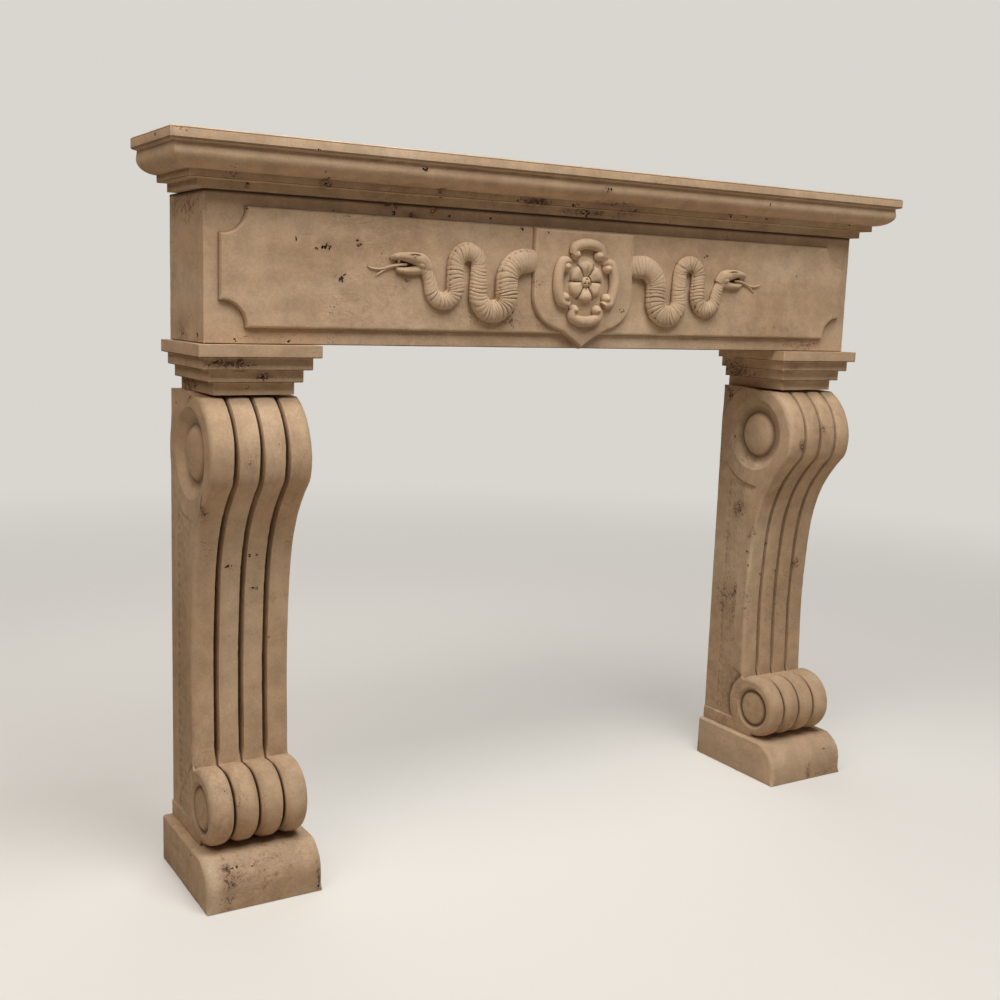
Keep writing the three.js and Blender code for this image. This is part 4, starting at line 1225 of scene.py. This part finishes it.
def build_plinths():
    """The two plinths, each with its hollows."""
    for side, seed in (("left", 11), ("right", 23)):
        node = f"plinth_{side}"
        pitted(stone_piece(f"{node}_stone", plinth_shape(node, seed), node, travertine))


def build_legs():
    """The two legs, with their sides carved and their hollows cut."""
    for side, seed in (("left", 31), ("right", 47)):
        node = f"leg_{side}"
        leg = stone_piece(f"{node}_stone", leg_shape(node, seed), node, travertine_upright)
        carve_leg_sides(leg, node, seed)
        pitted(leg)


def build_capitals():
    """The two capitals; their steps widen and come forward by different amounts."""
    for side, seed in (("left", 53), ("right", 67)):
        node = f"capital_{side}"
        low, high = box_mm(node)
        steps = [[out - outs[0] for out in outs] for outs in (CAPITAL_HALF_WIDTHS, CAPITAL_REACHES)]
        shape = moulded_stone(
            capital_profile(), (low[0] + high[0]) / 2, CAPITAL_HALF_WIDTHS[0], CAPITAL_REACHES[0],
            0.0, low[2], 2.6, 3.5, seed, steps, hollow=0.6, nick=2.2,
        )
        pitted(stone_piece(f"{node}_stone", shape, node, travertine))


def build_frieze():
    """The frieze's block, with painted shade along its top at the joint under the shelf, and the panel and
    shield raised on it.
    """
    low, high = box_mm("frieze")
    tall = high[2] - low[2]
    block = moulded_stone(
        [(-60, 0), (0, 0), (0, tall), (-60, tall)], 0.0, high[0], FRIEZE_REACH, 0.0, low[2], 2.4, 7.0, 71,
        hollow=0.5, nick=1.4,
    )
    # A dark band along the top: painted shade at the joint under the shelf.
    block["wear_and_shade"] = np.where(block["points"][:, 2] > high[2] - 3.0, -1.0, block["wear_and_shade"])
    pitted(stone_piece("frieze_stone", block, "frieze", travertine))
    panel_rows = soft_edge(PANEL["draft"], FRIEZE_REACH - 3, PANEL_REACH, 1.8)
    shield_rows = soft_edge(SHIELD["draft"], FRIEZE_REACH - 3, SHIELD_REACH, 4.0)
    # A lighter painted shade on the shield's flank.
    shield_rows[1] = (SHIELD["draft"], PANEL_REACH + 0.5, -0.45)
    for name, outline, rows, seed, nick in (
        ("frieze_panel", panel_outline(), panel_rows, 73, 0.9),
        ("frieze_shield", shield_outline(), shield_rows, 79, 0.8),
    ):
        shape = raised_field(outline, rows, seed, hollow=0.25, nick=nick)
        field = stone_piece(name, shape, "frieze", travertine)
        scored(field, 9.0)
        pitted(field)


def build_carving():
    """The scrolled frame, the rose in it and a serpent on each side."""
    bars = [shape for middle, span in FRAME_BARS for shape in scroll_bar(middle, span)]
    frame_shape = weathered(together(bars), 83, hollow=0.3, nick=0.5)
    stone_piece("scrolled_frame", frame_shape, "frieze", travertine, 50)
    stone_piece("rose", weathered(rose_shape(), 89, hollow=0.3, nick=0.4), "frieze", travertine, 60)
    for side, word, seed in ((-1, "left", 2), (1, "right", 5)):
        shape = weathered(together([serpent_body(side, seed), serpent_head(side)]), 97 + seed, 0.4, 0.4)
        stone_piece(f"serpent_{word}", shape, "frieze", travertine, 60)


def build_shelf():
    """The shelf, as one moulded stone on the frieze."""
    low, high = box_mm("shelf")
    shape = moulded_stone(
        shelf_profile(), 0.0, box_mm("frieze")[1][0], FRIEZE_REACH, WALL_Y - high[1], low[2], 1.6, 6.0, 101,
        hollow=0.6, nick=1.3,
    )
    pitted(stone_piece("shelf_stone", shape, "shelf", travertine))


# Studio

# Each lamp's power in watts, colour, width in metres, turn from the front towards the right, lift
# above the horizon and distance from the mantel's middle.
LAMPS = [
    ("high front", 87.0, (1.0, 1.0, 0.99), 1.8, 4, 63, 3.2),
    ("high left", 26.0, (1.0, 0.975, 0.94), 1.8, -50, 62, 3.2),
    ("left", 33.0, (1.0, 0.90, 0.82), 1.8, -75, 38, 3.2),
    ("low right", 8.0, (1.0, 0.93, 0.87), 1.8, 36, 4, 3.2),
    ("back", 70.0, (1.0, 0.98, 0.95), 3.5, 170, 48, 4.6),
]
LAMPS_AIM = (0.0, -0.1, 0.95)
FLOOR = "#E3E0DA"
FLOOR_HALF = 14.0


def turned_to(right, up, ahead, place):
    """The matrix of a lamp or camera: its own right, up and back as columns, and its place."""
    return Matrix([*zip(right, up, -ahead, place), (0, 0, 0, 1)])


def studio_floor():
    """A pale painted floor that runs evenly into the surround. What the camera sees keeps soft
    shadows but is lit from within as well; what the stone sees is darker, so that undersides stay
    in shade."""
    material = bpy.data.materials.new("painted studio floor")
    tree = emptied_tree(material)
    place = add(tree, "ShaderNodeTexCoord", out="Object")
    away = add(tree, "ShaderNodeVectorMath", {"operation": "LENGTH"}, out="Value", _0=place)
    soft = {"interpolation_type": "SMOOTHSTEP"}
    near = add(tree, "ShaderNodeMapRange", soft, _0=away, _1=1.2, _2=5.5, _3=1.0, _4=0.0)
    paint = add(tree, "ShaderNodeBsdfDiffuse", Color=linear("#C9C6C0"))
    glow = add(tree, "ShaderNodeEmission", Color=linear(FLOOR), Strength=0.34)
    lit = add(tree, "ShaderNodeAddShader", _0=paint, _1=glow)
    far = add(tree, "ShaderNodeEmission", Color=linear(FLOOR), Strength=0.9)
    seen = add(tree, "ShaderNodeMixShader", _0=near, _1=far, _2=lit)
    felt = add(tree, "ShaderNodeBsdfDiffuse", Color=linear("#C4B8AA"))
    ray = add(tree, "ShaderNodeLightPath", out="Is Camera Ray")
    both = add(tree, "ShaderNodeMixShader", _0=ray, _1=felt, _2=seen)
    add(tree, "ShaderNodeOutputMaterial", Surface=both)
    return material


def build_studio():
    """A pale floor, soft square lamps, and a pale surround that lights the scene less than the camera
    sees of it."""
    mesh = bpy.data.meshes.new("floor")
    corners = [(x * FLOOR_HALF, y * FLOOR_HALF, 0) for x, y in ((-1, -1), (1, -1), (1, 1), (-1, 1))]
    mesh.from_pydata(corners, [], [(0, 1, 2, 3)])
    mesh.materials.append(studio_floor())
    put("floor", mesh)

    middle = np.array(LAMPS_AIM)
    for name, energy, colour, size, turn, lift, away in LAMPS:
        turn, lift = math.radians(turn), math.radians(lift)
        place = middle + away * np.array([
            math.sin(turn) * math.cos(lift), -math.cos(turn) * math.cos(lift), math.sin(lift),
        ])
        light = bpy.data.lights.new(name, "AREA")
        light.energy = energy
        light.color = colour
        light.size = size
        aim = (middle - place) / away
        side = np.cross(aim, (0, 0, 1))
        side /= np.linalg.norm(side)
        put(name, light).matrix_world = turned_to(side, np.cross(side, aim), aim, place)

    world = bpy.data.worlds.new("studio")
    tree = emptied_tree(world)
    seen = add(tree, "ShaderNodeBackground", Color=linear(FLOOR), Strength=0.9)
    felt = add(tree, "ShaderNodeBackground", Color=linear("#E6CDB4"), Strength=0.03)
    ray = add(tree, "ShaderNodeLightPath", out="Is Camera Ray")
    both = add(tree, "ShaderNodeMixShader", _0=ray, _1=felt, _2=seen)
    add(tree, "ShaderNodeOutputWorld", Surface=both)
    bpy.context.scene.world = world
    bpy.context.scene.view_settings.view_transform = "Standard"


def build_camera():
    """The photograph's place and direction, found from the mantel's own corners."""
    place = (-1.5487, -2.3122, 1.1697)
    yaw, pitch, roll = 0.5496, -0.1562, 0.0341
    ahead = np.array([math.sin(yaw) * math.cos(pitch), math.cos(yaw) * math.cos(pitch), math.sin(pitch)])
    level = np.array([math.cos(yaw), -math.sin(yaw), 0.0])
    above = np.cross(level, ahead)
    right = math.cos(roll) * level + math.sin(roll) * above
    up = -math.sin(roll) * level + math.cos(roll) * above
    data = bpy.data.cameras.new("camera")
    data.lens = 45.106
    data.sensor_width = 36.0
    camera = put("camera", data)
    camera.matrix_world = turned_to(right, up, ahead, place)
    bpy.context.scene.camera = camera


build_plinths()
build_legs()
build_capitals()
build_frieze()
build_carving()
build_shelf()
build_studio()
build_camera()
